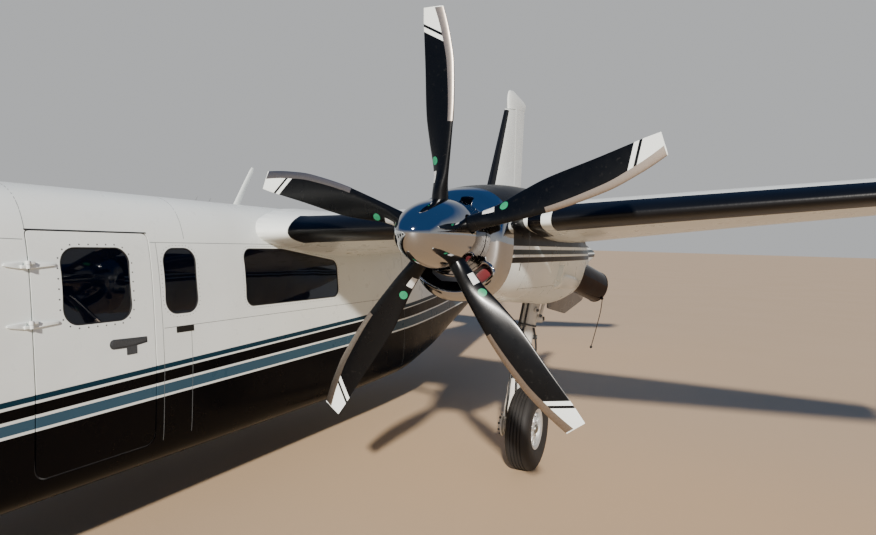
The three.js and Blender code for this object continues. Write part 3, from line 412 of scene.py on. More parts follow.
def walled(outer, inner):
    """A tube with a wall: two skins of like rings, joined at both ends."""
    rings, count = np.shape(outer)[:2]
    total = rings * count
    faces = loft_faces(rings, count)
    faces += [tuple(total + i for i in reversed(face)) for face in faces]
    for ring in (0, rings - 1):
        for i in range(count):
            a, b = ring * count + i, ring * count + (i + 1) % count
            faces.append((a, b, total + b, total + a))
    return np.reshape([outer, inner], (-1, 3)), faces


def lathed(profile, segments, axis="x"):
    """A profile of (radius, distance along the axis) turned round that axis; it closes on itself or on
    the axis."""
    radius, along = np.asarray(profile, float).T
    rings = []
    for angle in turns(segments):
        across, up = radius * math.cos(angle), radius * math.sin(angle)
        rings.append(np.stack([along, across, up] if axis == "x" else [across, along, up], axis=1))
    return np.reshape(rings, (-1, 3)), loft_faces(segments, len(radius), radius[0] > 0, True)


def tube_along(points, radius, sides=8, closed=False):
    """A round tube along points."""
    points = np.asarray(points, float)
    if closed:
        tangents = np.roll(points, -1, axis=0) - np.roll(points, 1, axis=0)
    else:
        tangents = np.gradient(points, axis=0)
    tangents /= np.linalg.norm(tangents, axis=1)[:, None]
    across = np.array([0, 0, 1.0]) if abs(tangents[0][2]) < 0.9 else np.array([1.0, 0, 0])
    angles = turns(sides)[:, None]
    rings = []
    for point, tangent in zip(points, tangents):
        across = across - tangent * across.dot(tangent)
        across /= np.linalg.norm(across)
        up = np.cross(tangent, across)
        rings.append(point + radius * (np.cos(angles) * across + np.sin(angles) * up))
    if not closed:
        return lofted(rings)
    return np.reshape(rings, (-1, 3)), loft_faces(len(points), sides, closed_along=True)


def smooth_path(points, steps=8):
    """A rounded path through points."""
    points = np.asarray(points, float)
    padded = np.vstack([2 * points[0] - points[1], points, 2 * points[-1] - points[-2]])
    found = []
    for a, b, c, d in zip(padded, padded[1:], padded[2:], padded[3:]):
        for t in np.linspace(0, 1, steps, endpoint=False):
            found.append(0.5 * (2 * b + (c - a) * t + (2 * a - 5 * b + 4 * c - d) * t**2
                                + (3 * b - a - 3 * c + d) * t**3))
    return np.array(found + [points[-1]])


def bar(start, end, rows, sides=24):
    """A round stepped bar between two points, through rows of (part of its length, radius)."""
    start, end = Vector(start), Vector(end)
    along = (end - start).normalized()
    across = along.orthogonal().normalized()
    up = along.cross(across)
    return lofted([[start.lerp(end, part) + across * (radius * math.cos(a)) + up * (radius * math.sin(a))
                    for a in turns(sides)] for part, radius in rows])


def rod(start, end, radius, end_radius=None, sides=24):
    return bar(start, end, [(0, radius), (1, radius if end_radius is None else end_radius)], sides)


def part_of(made):
    """A bmesh's vertices and faces; the bmesh is let go."""
    made.verts.index_update()
    part = np.array([v.co for v in made.verts]), [tuple(v.index for v in face.verts) for face in made.faces]
    made.free()
    return part


def block(low, high, bevel=0.0):
    """A box with bevelled edges."""
    made = bmesh.new()
    bmesh.ops.create_cube(made, size=1.0)
    low, high = Vector(low), Vector(high)
    bmesh.ops.scale(made, vec=high - low, verts=made.verts)
    bmesh.ops.translate(made, vec=(low + high) / 2, verts=made.verts)
    if bevel:
        bmesh.ops.bevel(made, geom=made.edges[:], offset=bevel, segments=3, affect="EDGES", profile=0.5)
    return part_of(made)


def joined(parts):
    """Several pairs of vertices and faces as one pair."""
    vertices, faces, total = [], [], 0
    for some_vertices, some_faces in parts:
        vertices.append(np.asarray(some_vertices, float).reshape(-1, 3))
        faces += [tuple(i + total for i in face) for face in some_faces]
        total += len(vertices[-1])
    return np.vstack(vertices), faces


def moved(part, matrix):
    vertices, faces = part
    matrix = np.array(matrix)
    return vertices @ matrix[:3, :3].T + matrix[:3, 3], faces


def new_object(name, part):
    vertices, faces = part
    mesh = bpy.data.meshes.new(name)
    mesh.from_pydata(np.asarray(vertices).tolist(), [], faces)
    built = bmesh.new()
    built.from_mesh(mesh)
    bmesh.ops.remove_doubles(built, verts=built.verts, dist=1e-6)
    bmesh.ops.recalc_face_normals(built, faces=built.faces)
    built.to_mesh(mesh)
    built.free()
    mesh.update()
    made = bpy.data.objects.new(name, mesh)
    bpy.context.scene.collection.objects.link(made)
    return made


def carve(made, parts, operation="DIFFERENCE"):
    """Cuts closed parts out of an object's mesh, or keeps only what lies inside them."""
    tool = new_object("tool", joined(parts))
    modifier = made.modifiers.new("carve", "BOOLEAN")
    modifier.object, modifier.operation, modifier.solver = tool, operation, "EXACT"
    bpy.context.view_layer.update()
    graph = bpy.context.evaluated_depsgraph_get()
    mesh = bpy.data.meshes.new_from_object(made.evaluated_get(graph))
    made.modifiers.clear()
    made.data = mesh
    bpy.data.objects.remove(tool)
    if not mesh.polygons:
        raise RuntimeError(f"nothing is left of {made.name} after the cut")


class Skin:
    """A smooth uncut surface: the nearest point on it, with the surface's smooth normal there."""

    def __init__(self, part):
        source = new_object("skin", part)
        mesh = source.data
        mesh.calc_loop_triangles()
        self.places = np.array([v.co for v in mesh.vertices])
        self.normals = np.array([v.vector for v in mesh.vertex_normals])
        self.triangles = np.array([t.vertices for t in mesh.loop_triangles])
        self.tree = BVHTree.FromPolygons(self.places.tolist(), self.triangles.tolist())
        bpy.data.objects.remove(source)

    def nearest(self, point):
        place, _, index, distance = self.tree.find_nearest(Vector(point))
        corners = self.triangles[index]
        a, b, c = self.places[corners]
        share, *_ = np.linalg.lstsq(np.stack([b - a, c - a], axis=1), np.array(place) - a, rcond=None)
        normal = np.array([1 - share.sum(), *share]) @ self.normals[corners]
        return np.array(place), normal / np.linalg.norm(normal), distance

    def lifted(self, point, lift):
        """The nearest point, moved off the surface, and the normal there."""
        place, normal, _ = self.nearest(point)
        return place + normal * lift, normal


def keep_curve(made, skin, near=0.0015, along=0.9):
    """Gives a cut mesh the smooth normals of the surface that it was cut from; other faces stay flat."""
    mesh = made.data
    found = {}
    normals = np.zeros((len(mesh.loops), 3))
    for polygon in mesh.polygons:
        polygon.use_smooth = True
        flat = polygon.normal.copy()
        for i in polygon.loop_indices:
            vertex = mesh.loops[i].vertex_index
            if vertex not in found:
                found[vertex] = skin.nearest(mesh.vertices[vertex].co)
            _, normal, distance = found[vertex]
            facing = flat.dot(normal)
            on_skin = distance < near and abs(facing) > along
            normals[i] = normal * math.copysign(1, facing) if on_skin else flat
    mesh.normals_split_custom_set(normals.tolist())


def dress(made, finish="white_paint", slot="white_paint", body="airframe", replaces=(), sharp=40):
    """Shades a piece, gives it its finish and lets it ride on its body."""
    if sharp is not None:
        for polygon in made.data.polygons:
            polygon.use_smooth = True
        made.data.set_sharp_from_angle(angle=math.radians(sharp))
    made.data.materials.clear()
    made.data.materials.append(finish_named(finish))
    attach(made, body)
    if replaces:
        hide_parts(*replaces)
    return made


def add_piece(name, part, finish="white_paint", slot="white_paint", body="airframe", replaces=(), sharp=40,
              at=None):
    made = new_object(name, part)
    if at is not None:
        made.matrix_world = at
    return dress(made, finish, slot, body, replaces, sharp)


def add_skin(name, part, skin, inside=(), cuts=(), near=0.0015, along=0.9, at=None, **looks):
    """A piece that is kept inside some closed parts and cut by others, with its skin's smooth normals."""
    made = new_object(name, part)
    if inside:
        carve(made, inside, "INTERSECT")
    if cuts:
        carve(made, cuts)
    keep_curve(made, skin, near, along)
    if at is not None:
        made.matrix_world = at
    return dress(made, sharp=None, **looks)


def filleted(corners, steps=6, grow=0.0):
    """An outline with round corners from (across, up, radius), moved outwards by grow."""
    area = sum(a[0] * b[1] - b[0] * a[1] for a, b in zip(corners, corners[1:] + corners[:1]))
    turn = 1 if area > 0 else -1
    places = np.array([c[:2] for c in corners], float)
    edges = [e / np.linalg.norm(e) for e in np.roll(places, -1, axis=0) - places]
    outward = [np.array([e[1], -e[0]]) * turn for e in edges]
    found = []
    for i, place in enumerate(places):
        before, n0, n1 = edges[i - 1], outward[i - 1], outward[i]
        bend = math.acos(max(-1, min(1, before.dot(edges[i]))))
        radius = max(0.001, corners[i][2] + grow)
        corner = place + grow * (n0 + n1) / (1 + n0.dot(n1))
        centre = corner - before * radius * math.tan(bend / 2) - n0 * radius
        for part in np.linspace(0, 1, steps + 1):
            way = n0 * math.sin((1 - part) * bend) + n1 * math.sin(part * bend)
            found.append(centre + (way / math.sin(bend) if bend > 1e-4 else n0) * radius)
    return np.array(found)


# Rivets, seams and other trim that follows a skin

def domes(places, normals, radius, sides=6, height=0.35):
    """Low round heads as one mesh."""
    vertices, faces = [], []
    for place, normal in zip(places, normals):
        place, normal, base = Vector(place), Vector(normal), len(vertices)
        across = normal.orthogonal().normalized()
        up = normal.cross(across)
        for size, lift in ((1.0, 0.0), (0.7, height * 0.75)):
            vertices += [place + (across * math.cos(a) + up * math.sin(a)) * (radius * size)
                         + normal * (radius * lift) for a in turns(sides)]
        vertices.append(place + normal * (radius * height))
        for i in range(sides):
            j = (i + 1) % sides
            faces += [(base + i, base + j, base + sides + j, base + sides + i),
                      (base + sides + i, base + sides + j, base + 2 * sides)]
    return np.array(vertices), faces


def resampled(points, pitch):
    """Points along a line at an even pitch."""
    points = np.asarray(points, float)
    length = np.concatenate([[0], np.cumsum(np.linalg.norm(np.diff(points, axis=0), axis=1))])
    at = np.linspace(0, length[-1], max(2, int(length[-1] / pitch) + 1))
    return np.stack([np.interp(at, length, column) for column in points.T], axis=1)


def ribbon(skin, points, width, lift=0.0004, deep=0.001):
    """A thin flat strip that follows a skin along points."""
    found = [skin.lifted(point, lift) for point in resampled(points, 0.03)]
    along = np.gradient(np.array([place for place, _ in found]), axis=0)
    rings = []
    for (place, normal), heading in zip(found, along):
        across = np.cross(normal, heading)
        across *= width / 2 / max(np.linalg.norm(across), 1e-9)
        rings.append([place - across, place + across, place + across - normal * deep,
                      place - across - normal * deep])
    return lofted(rings)


def rivet_row(skin, points, radius, pitch):
    return domes(*zip(*[skin.lifted(point, 0.0) for point in resampled(points, pitch)]), radius)


# Materials

SOFT_EDGE = 0.0008
ORANGE_PEEL, OIL_CANNING = 0.004, 0.32
# The painted bands of a blade's tip lean across its chord, about the middle of the tip
BAND_LEAN, TIP_MIDDLE = 0.54, -0.06
MIX_FACTOR, MIX_A, MIX_B, MIX_RESULT = 0, 6, 7, 2
TEXTURE_OUTPUT = {"TexNoise": "Fac", "TexVoronoi": "Distance", "TexWave": "Fac"}


def rgba(shade):
    """A hex code or a property's colour as the four numbers that a socket takes."""
    return (*(linear(shade) if isinstance(shade, str) else shade), 1.0)


def add(tree, kind, inputs=(), out=0, **settings):
    """Adds a shader node with its settings and its linked or constant inputs. Gives one of its outputs, or
    all of them where out is None."""
    node = tree.nodes.new("ShaderNode" + kind)
    for key, value in settings.items():
        setattr(node, key, value)
    for key, value in dict(inputs if isinstance(inputs, dict) else enumerate(inputs)).items():
        if isinstance(value, bpy.types.NodeSocket):
            tree.links.new(value, node.inputs[key])
        else:
            node.inputs[key].default_value = value
    return list(node.outputs) if out is None else node.outputs[out]


def texture(tree, size, detail=3.0, kind="TexNoise"):
    """A texture in the object's own metres; size is the distance from blotch to blotch or from thread to
    thread."""
    inputs = {"Vector": add(tree, "TexCoord", out="Object"), "Scale": 1 / size}
    if kind == "TexNoise":
        inputs.update({"Detail": detail, "Roughness": 0.55})
    return add(tree, kind, inputs, TEXTURE_OUTPUT[kind])


def blotches(tree, low, high, *pattern):
    """A texture stretched from low to high."""
    return add(tree, "MapRange", {"Value": texture(tree, *pattern), "To Min": low, "To Max": high})


def masked(tree, height, level, above, beneath):
    """Two colours that meet at a level, with a paint edge under two millimetres wide."""
    gap = add(tree, "Math", (level, height), operation="SUBTRACT")
    edge = add(tree, "MapRange", {"Value": gap, "From Min": -SOFT_EDGE, "From Max": SOFT_EDGE})
    return add(tree, "Mix", {MIX_FACTOR: edge, MIX_A: above, MIX_B: beneath}, MIX_RESULT, data_type="RGBA")


def new_tree(store, name):
    """A new material or world with an empty node tree."""
    made = store.new(name)
    made.use_nodes = True
    made.node_tree.nodes.clear()
    return made, made.node_tree


def shaded(material, **sockets):
    """Ends a material with one Principled shader whose sockets are linked or constant."""
    tree = material.node_tree
    shader = add(tree, "BsdfPrincipled", {key.replace("_", " "): value for key, value in sockets.items()})
    add(tree, "OutputMaterial", (shader,), None)
    return material


def blended(name, shades, mix=(1.0, 0.01), rough=None, bump=None, **sockets):
    """A material of two shades. mix is how much of the second shows at most, then its texture; rough is
    the least and most roughness, then its texture; bump is a depth in metres, then its texture."""
    material, tree = new_tree(bpy.data.materials, name)
    most, *pattern = mix
    first, second = (rgba(shade) for shade in shades)
    sockets["Base_Color"] = add(tree, "Mix", {MIX_FACTOR: blotches(tree, 0.0, most, *pattern), MIX_A: first,
                                              MIX_B: second}, MIX_RESULT, data_type="RGBA")
    if rough:
        sockets["Roughness"] = blotches(tree, *rough)
    if bump:
        depth, *pattern = bump
        sockets["Normal"] = add(tree, "Bump", {"Height": texture(tree, *pattern), "Distance": depth,
                                               "Strength": 1.0})
    return shaded(material, **sockets)


def painted(material, colour, grime=0.22, **sockets):
    """Sprayed gloss paint: slow waves of thin sheet metal, fine orange peel, faint road film. Dark paint
    shows less of the sky."""
    tree = material.node_tree
    film = {MIX_FACTOR: blotches(tree, 0.0, grime, 0.45, 5.0), MIX_A: colour, MIX_B: rgba("#a39884")}
    pale = add(tree, "RGBToBW", {"Color": colour})
    peel = add(tree, "Math", (texture(tree, ORANGE_PEEL, 2.0), 0.02), operation="MULTIPLY")
    height = add(tree, "Math", (texture(tree, OIL_CANNING, 1.0), peel), operation="ADD")
    dusty = add(tree, "Mix", film, MIX_RESULT, data_type="RGBA", blend_type="MULTIPLY")
    return shaded(material, Base_Color=dusty,
                  Specular_IOR_Level=add(tree, "MapRange", {"Value": pale, "To Min": 0.06, "To Max": 0.5}),
                  Normal=add(tree, "Bump", {"Height": height, "Distance": 0.004, "Strength": 1.0}),
                  Roughness=blotches(tree, 0.22, 0.36, 0.12, 4.0), **sockets)


def striped_paint():
    """Polyurethane over riveted sheet. The eye gets a soft gloss, crisp masked stripes and faint waves
    between the frames."""
    material, tree = new_tree(bpy.data.materials, "Polyurethane, sprayed and masked on riveted aluminium")
    _, y, z = add(tree, "SeparateXYZ", (add(tree, "TexCoord", out="Object"),), None)
    start, rise = STRIPE_SWEEP
    past = add(tree, "Math", (add(tree, "Math", (y, start), operation="SUBTRACT"), 0.0), operation="MAXIMUM")
    past = add(tree, "Math", (past, past), operation="MULTIPLY")
    sweep = add(tree, "Math", (past, rise), operation="MULTIPLY")
    along = add(tree, "Math", (y, STRIPE_FRONT), operation="SUBTRACT")
    colour = rgba(colours().white)
    for height, slope, name in STRIPES:
        line = add(tree, "Math", (along, slope), operation="MULTIPLY")
        for part in (height, sweep):
            line = add(tree, "Math", (line, part), operation="ADD")
        colour = masked(tree, z, line, colour, rgba(getattr(colours(), name)))
    return painted(material, colour, Coat_Weight=0.05, Coat_Roughness=0.08)


def nacelle_paint():
    """The same paint on the nacelles, black above a narrow banded line and white below. The black top shows
    clear reflections."""
    material, tree = new_tree(bpy.data.materials, "Polyurethane, sprayed and masked on nacelle skins")
    z = add(tree, "SeparateXYZ", (add(tree, "TexCoord", out="Object"),), 2)
    colour = rgba(colours().black)
    for height, name in NACELLE_LINES:
        colour = masked(tree, z, height, colour, rgba(getattr(colours(), name)))
    return painted(material, colour, 0.15, Coat_Weight=0.04, Coat_Roughness=0.05)


def one_colour(name, shade, *grime, **coat):
    material, _ = new_tree(bpy.data.materials, f"Polyurethane, sprayed {name} on sheet aluminium")
    return painted(material, rgba(shade), *grime, **coat)


def white_paint():
    """Plain white of the same coat, for wings, tail and fairings."""
    return one_colour("white", colours().white, Coat_Weight=0.35, Coat_Roughness=0.12)


def black_paint():
    """Plain gloss black of the same coat, for the inner collar on each wing."""
    return one_colour("black", colours().black, 0.1, Coat_Weight=0.6, Coat_Roughness=0.05)


def grey_paint():
    """Grey coat on the main wheel doors and in the gap round the cabin door, dulled by dust. On the wheel
    doors its dark grey is partly painted shade, for the shadow that they stand in.
    """
    return one_colour("grey", "#5f6062", 0.5, Coat_Weight=0.3, Coat_Roughness=0.06)


def boot_rubber():
    """Neoprene sheet cemented along a leading edge. It looks soft black, with a dull sheen and small
    shallow dents."""
    return blended("Neoprene, moulded sheet cemented on", ("#040508", "#15171c"), (0.35, 0.25, 5.0),
                   bump=(0.0006, 0.015, 2.0), Roughness=0.38, Specular_IOR_Level=0.25, Coat_Weight=0.1,
                   Coat_Roughness=0.12)


def polished_aluminium():
    """Spun aluminium polished to a mirror. Slow waves in the thin metal bend its reflections a little. Its
    grey is darker than bright polished aluminium: painted shade that stands for the dim surroundings it
    mirrors.
    """
    return blended("Aluminium, spun and mirror polished", ("#a6a8ad", "#bbbab7"), (1.0, 0.3),
                   (0.03, 0.075, 0.09, 4.0), (0.0008, 0.10, 2.0), Metallic=1.0)


def cast_silver():
    """Magnesium wheel casting painted silver: satin, with a slight sand-cast texture and brake dust."""
    return blended("Magnesium, cast and painted silver", ("#dcdfdf", "#7d766f"), (0.55, 0.05, 5.0),
                   (0.30, 0.5, 0.05, 5.0), (0.0002, 0.003, 2.0), Metallic=0.65)


def leg_enamel():
    """Forged steel leg in white enamel, a little oily and chipped."""
    return blended("Steel, forged and enamelled white", ("#dcdbd5", "#8b8479"), (0.45, 0.07, 6.0),
                   (0.28, 0.5, 0.07, 6.0), (0.0003, 0.006), Coat_Weight=0.2)


def hard_chrome():
    """Ground hard chrome on the sliding tubes: a bright clear mirror of one even shade."""
    return blended("Steel, ground and hard chromed", ("#d9dcde", "#d9dcde"), rough=(0.05, 0.14, 0.02, 4.0),
                   Metallic=1.0)


def plated_steel():
    """Cadmium plated bolts, studs, brakes and axle: dull silver with darker patches."""
    return blended("Steel, cadmium plated", ("#a9aaa5", "#6f6c64"), (1.0, 0.02, 4.0), (0.3, 0.5, 0.02, 4.0),
                   Metallic=1.0)


def dark_steel():
    """Oxidised screw heads and fittings: small, dark and dull."""
    return blended("Steel, blackened", ("#55585a", "#3a3c3f"), Metallic=0.4, Roughness=0.5)


def seam_sealant():
    """Grey sealant and settled dust in the laps between the skins."""
    return blended("Polysulphide sealant, squeezed and painted", ("#6e7274", "#4e5254"), (1.0, 0.05, 4.0),
                   Roughness=0.6)


def exhaust_steel():
    """Stainless exhaust duct, polished and then browned by heat. It keeps dark glossy reflections."""
    return blended("Stainless steel, welded and heat stained", ("#35373d", "#37261c"), (1.0, 0.09),
                   (0.05, 0.16, 0.04, 4.0), (0.0008, 0.06, 2.0), Metallic=1.0)


def soot_and_painted_shade():
    """Black and dull. Inside the exhausts it is soot and painted shade; in the intake throats and the air
    slits it is painted shade, for the shadow inside those openings.
    """
    return blended("Steel, sooted", ("#0a0908", "#1a1714"), (1.0, 0.03), Roughness=0.85)


def blade_paint():
    """Epoxy paint on a composite blade, black with a banded tip. It has a soft gloss, a fine grain and faint
    pale insect marks."""
    material, tree = new_tree(bpy.data.materials, "Epoxy, sprayed on a propeller blade")
    x, _, z = add(tree, "SeparateXYZ", (add(tree, "TexCoord", out="Object"),), None)
    radius = add(tree, "VectorMath", (add(tree, "CombineXYZ", {0: x, 2: z}),), "Value", operation="LENGTH")
    step = math.pi / BLADE_COUNT
    turn = add(tree, "Math", (x, z), operation="ARCTAN2")
    turn = add(tree, "Math", (turn, step, -step), operation="WRAP")
    parts = [add(tree, "Math", (turn,), operation=part) for part in ("COSINE", "SINE")]
    along, across = (add(tree, "Math", (radius, part), operation="MULTIPLY") for part in parts)
    lean = add(tree, "Math", (across, TIP_MIDDLE), operation="SUBTRACT")
    lean = add(tree, "Math", (lean, BAND_LEAN), operation="MULTIPLY")
    reach = add(tree, "Math", (along, lean), operation="ADD")
    black, white = rgba(colours().blade), rgba(colours().white)
    edges = BLADE[-1][0] - np.cumsum([sizes().tip_white, sizes().tip_black, sizes().tip_ring])
    colour = white
    for edge, shade in zip(edges, (black, white, black)):
        colour = masked(tree, reach, edge, colour, shade)
    worn = add(tree, "MapRange", {"Value": texture(tree, 0.02, 6.0), "From Min": 0.62, "From Max": 0.75,
                                  "To Max": 0.10})
    colour = add(tree, "Mix", {MIX_FACTOR: worn, MIX_A: colour, MIX_B: rgba("#5d5a55")}, MIX_RESULT,
                 data_type="RGBA")
    grain = {"Height": texture(tree, 0.005, 2.0), "Distance": 0.0002, "Strength": 1.0}
    return shaded(material, Base_Color=colour, Roughness=blotches(tree, 0.22, 0.36, 0.06, 4.0),
                  Normal=add(tree, "Bump", grain), Specular_IOR_Level=0.2, Coat_Weight=0.12,
                  Coat_Roughness=0.15)


def nickel_strip():
    """Electroformed nickel guard on a blade's front edge: warm grey metal, sand-scoured."""
    return blended("Nickel, electroformed and scoured", ("#b7aca0", "#8a7f76"), (1.0, 0.012, 6.0),
                   (0.28, 0.45, 0.012, 6.0), Metallic=1.0)


def film_of(name, shade, dirt=0.2):
    """Thin film, cut and stuck on: flat colour with a soft gloss and slightly lifted dirt."""
    return blended(name, (shade, "#6c6c68"), (dirt, 0.01, 4.0), Roughness=0.35, Specular_IOR_Level=0.3)


def blank_label():
    """White vinyl film on the blades' roots: flat, and a little dirty."""
    return film_of("Vinyl film, white", "#d8dad8")


def round_mark():
    """Green vinyl film on the blades: one even, slightly dirty colour."""
    return film_of("Vinyl film, green", colours().blade_mark)


def dark_plate():
    """Black anodised plate behind the door: even and dark, with a soft gloss."""
    return film_of("Aluminium plate, anodised black", "#030304", 0.1)


def tyre_rubber():
    """Moulded natural rubber: dull grey-black, with patches of dust and a mould's fine grain."""
    return blended("Natural rubber, moulded tyre", ("#0d0d0f", "#332e29"), (0.5, 0.06, 6.0),
                   (0.6, 0.85, 0.06, 6.0), (0.0003, 0.002))


def hose_rubber():
    """Extruded rubber hydraulic hose: black, slightly shiny."""
    return blended("Synthetic rubber, extruded hose", ("#0c0c0d", "#242424"), bump=(0.0002, 0.002),
                   Roughness=0.45)


def seal_rubber():
    """Extruded rubber round the glass and above the cabin door: a thin matt black line."""
    return blended("EPDM rubber, extruded seal", ("#0b0b0c", "#1c1c1e"), Roughness=0.6)


def tinted_acrylic():
    """Stretched acrylic, dark tinted and polished. It mirrors the sky and lets a little of the cabin show."""
    return blended("Acrylic, stretched, tinted and polished", ("#0b1633", "#101d3c"), (1.0, 0.15),
                   (0.015, 0.05, 0.15), (0.002, 0.35, 1.0), IOR=1.49, Transmission_Weight=0.9)


def cabin_vinyl():
    """Vacuum-formed vinyl on the cabin walls and floor: warm grey, fine leather grain."""
    return blended("Vinyl, vacuum formed", (colours().trim, "#4a4743"), (1.0, 0.2),
                   bump=(0.0004, 0.002, 0.0, "TexVoronoi"), Roughness=0.6)


def seat_hide():
    """Tanned leather on the seats: dark, with a soft sheen and a fine grain."""
    return blended("Leather, tanned and stitched", (colours().leather, "#241f1c"), (1.0, 0.08, 4.0),
                   (0.4, 0.6, 0.05), (0.0005, 0.0015, 0.0, "TexVoronoi"), Sheen_Weight=0.1)


def plug_nylon():
    """Woven nylon cover of a foam intake plug, red and matt. Its deep dark red is partly painted shade, for
    the shadow deep in the intake.
    """
    return blended("Nylon, woven cover", (colours().plug, "#6e0f18"), (0.3, 0.006, 0.0, "TexWave"),
                   bump=(0.0005, 0.006, 0.0, "TexWave"), Roughness=0.8, Sheen_Weight=0.2)


def lens(name, shade):
    """Moulded polycarbonate lamp lens: clear coloured gloss."""
    return blended(f"Polycarbonate, moulded {name} lens", (shade, "#ffffff"), (0.15, 0.01), Roughness=0.06,
                   Transmission_Weight=0.6, IOR=1.58)


def red_lens():
    """Port lamp's lens: deep clear red."""
    return lens("red", "#c3131b")


def green_lens():
    """Starboard lamp's lens: deep clear green."""
    return lens("green", "#0f9b4a")


def studio_floor():
    """Smooth pale studio concrete: broad soft clouds and a fine trowel grain."""
    return blended("Concrete, trowelled and sealed", (colours().floor, "#b29776"), (0.35, 2.5, 4.0),
                   (0.6, 0.8, 2.5, 4.0), (0.001, 0.02, 4.0))


FINISHES = {finish.__name__: finish for finish in (
    striped_paint, nacelle_paint, white_paint, black_paint, grey_paint, boot_rubber, polished_aluminium,
    cast_silver, leg_enamel, hard_chrome, plated_steel, dark_steel, seam_sealant, exhaust_steel, soot_and_painted_shade,
    blade_paint, nickel_strip, blank_label, round_mark, dark_plate, tyre_rubber, hose_rubber, seal_rubber,
    tinted_acrylic, cabin_vinyl, seat_hide, plug_nylon, red_lens, green_lens, studio_floor)}
MADE = {}


def finish_named(name):
    if name not in MADE:
        MADE[name] = FINISHES[name]()
    return MADE[name]


# Fuselage

SKINS = {}


def fuselage_rings(first, last, step=0.06, inset=0.0):
    return body_rings(FUSELAGE, spread(first, last, step), sizes().ring_points, inset)


def nose_rings(last):
    """Rings from the nose to a station, closer together over the blunt tip."""
    return np.vstack([fuselage_rings(FUSELAGE[0][0], -4.5, 0.01), fuselage_rings(-4.48, last)])


def fuselage_skin():
    if "fuselage" not in SKINS:
        SKINS["fuselage"] = Skin(lofted(nose_rings(TAIL_END)))
    return SKINS["fuselage"]


def on_side(station, z, side=1, proud=0.0):
    """A point on the fuselage side at a station and a height."""
    return Vector((side * (float(skin_x(station, z)[0]) + proud), aft(station), z))


def door_prism(grow):
    """The cabin door's outline through the left side, with its rear edge bevelled so that it swings out."""
    stations, heights = filleted(DOOR, 8, grow).T
    middle = (DOOR[0][0] + DOOR[1][0]) / 2
    skin = skin_x(stations, heights)
    rings = []
    for x in (0.4, 0.9):
        shift = np.where(stations > middle, (x - skin) / DOOR_BEVEL, 0)
        rings.append(np.stack([np.full(len(skin), x), aft(stations) + shift, heights], axis=1))
    return lofted(rings)


def window_prism(name, side, grow=0.0):
    outline = filleted(WINDOWS[name], 8, grow)
    return lofted([[(side * x, aft(s), z) for s, z in outline] for x in WINDOW_CUT])


def windscreen_prism(side, grow=0.0):
    outline = filleted(WINDSCREEN, 8, grow)
    return lofted([[(side * x, aft(station), z) for x, z in outline] for station in WINDSCREEN_CUT])


def wall_rings(first, last, step, *insets):
    """Two skins of the fuselage at two depths, as one wall."""
    return walled(*[fuselage_rings(first, last, step, inset) for inset in insets])


def cabin_wall():
    return wall_rings(CABIN_FRONT, CABIN_BACK, 0.06, 0.0, CABIN_WALL)


def add_fuselage():
    skin = fuselage_skin()
    add_skin("nose_skin", lofted(nose_rings(CABIN_FRONT)), skin, cuts=[block(*NOSE_BAY)],
             finish="striped_paint", replaces=["fuselage_nose"])
    openings = [door_prism(DOOR_GAP)]
    for _, side in SIDES:
        names = [name for name in WINDOWS if side < 0 or name != "forward"]
        openings += [window_prism(name, side) for name in names] + [windscreen_prism(side)]
    add_skin("cabin_skin", cabin_wall(), skin, cuts=openings, finish="striped_paint",
             replaces=["fuselage_cabin"])
    add_skin("tail_skin", lofted(fuselage_rings(CABIN_BACK, TAIL_END, 0.09)), skin, finish="striped_paint",
             replaces=["fuselage_tail"])


def add_seal(name, corners, side, sunk, radius, finish="seal_rubber", body="airframe", grow=0.0):
    """A round seal along the edge of an opening in the fuselage side."""
    path = [on_side(s, z, side, -sunk) for s, z in filleted(corners, 10, grow)]
    add_piece(name, tube_along(path, radius, closed=True), finish, "grey_paint", body)


def add_door():
    add_skin("cabin_door_skin", cabin_wall(), fuselage_skin(), inside=[door_prism(0.0)],
             cuts=[window_prism("forward", 1)], finish="striped_paint", body="cabin_door",
             replaces=["cabin_door"])
    add_seal("door_seal", DOOR, 1, 0.011, 0.0065, "grey_paint", grow=DOOR_GAP / 2)


# Height of each hinge, and its strap ends on the fuselage and on the door
HINGE_HEIGHTS = (1.62, 1.33)
HINGE_STATION, HINGE_FRONT, HINGE_REAR = -1.279, -1.390, -1.128
HINGE_LEAN, HINGE_BASE_X, HINGE_BASE_Z = 0.1, 0.725, 1.475


def hinge_strap(z, end):
    """A tapered strap on the skin from near the pin to its end, with a raised middle rib."""
    way = math.copysign(1, end - HINGE_STATION)
    near, taper = HINGE_STATION + way * 0.018, end - way * 0.008
    outline = [(near, z - 0.021), (near + way * 0.03, z - 0.019), (taper, z - 0.008), (end, z - 0.003),
               (end, z + 0.003), (taper, z + 0.008), (near, z + 0.014)]
    rings = [np.array([on_side(s, height, proud=proud) for s, height in outline[::int(way)]])
             for proud in (-0.006, 0.006, 0.009)]
    middle = rings[2].mean(axis=0)
    rings[2] = middle + (rings[2] - middle) * [1, 0.93, 0.7]
    return lofted(rings)


def hinge_knuckle(z, low, high, way):
    """Half of a hinge: the barrel round the leaning pin, and the arm that joins it to its strap."""
    centre = Vector((HINGE_BASE_X - HINGE_LEAN * (z - HINGE_BASE_Z), aft(HINGE_STATION), z))
    lean = Vector((-HINGE_LEAN, 0, 1))
    foot = on_side(HINGE_STATION + way * 0.034, z, proud=-0.004)
    arm = block((foot.x, min(centre.y, foot.y), z + low + 0.001),
                (centre.x + 0.004, max(centre.y, foot.y), z + high - 0.001), 0.002)
    return [rod(centre + lean * low, centre + lean * high, 0.0105, sides=20), arm]


def add_hinges():
    fixed, moving = [], []
    for z in HINGE_HEIGHTS:
        fixed += [hinge_strap(z, HINGE_FRONT)] + hinge_knuckle(z, -0.019, -0.001, -1)
        moving += [hinge_strap(z, HINGE_REAR)] + hinge_knuckle(z, 0.001, 0.019, 1)
    add_piece("door_hinge_front_straps", joined(fixed))
    add_piece("door_hinge_rear_straps", joined(moving), body="cabin_door")


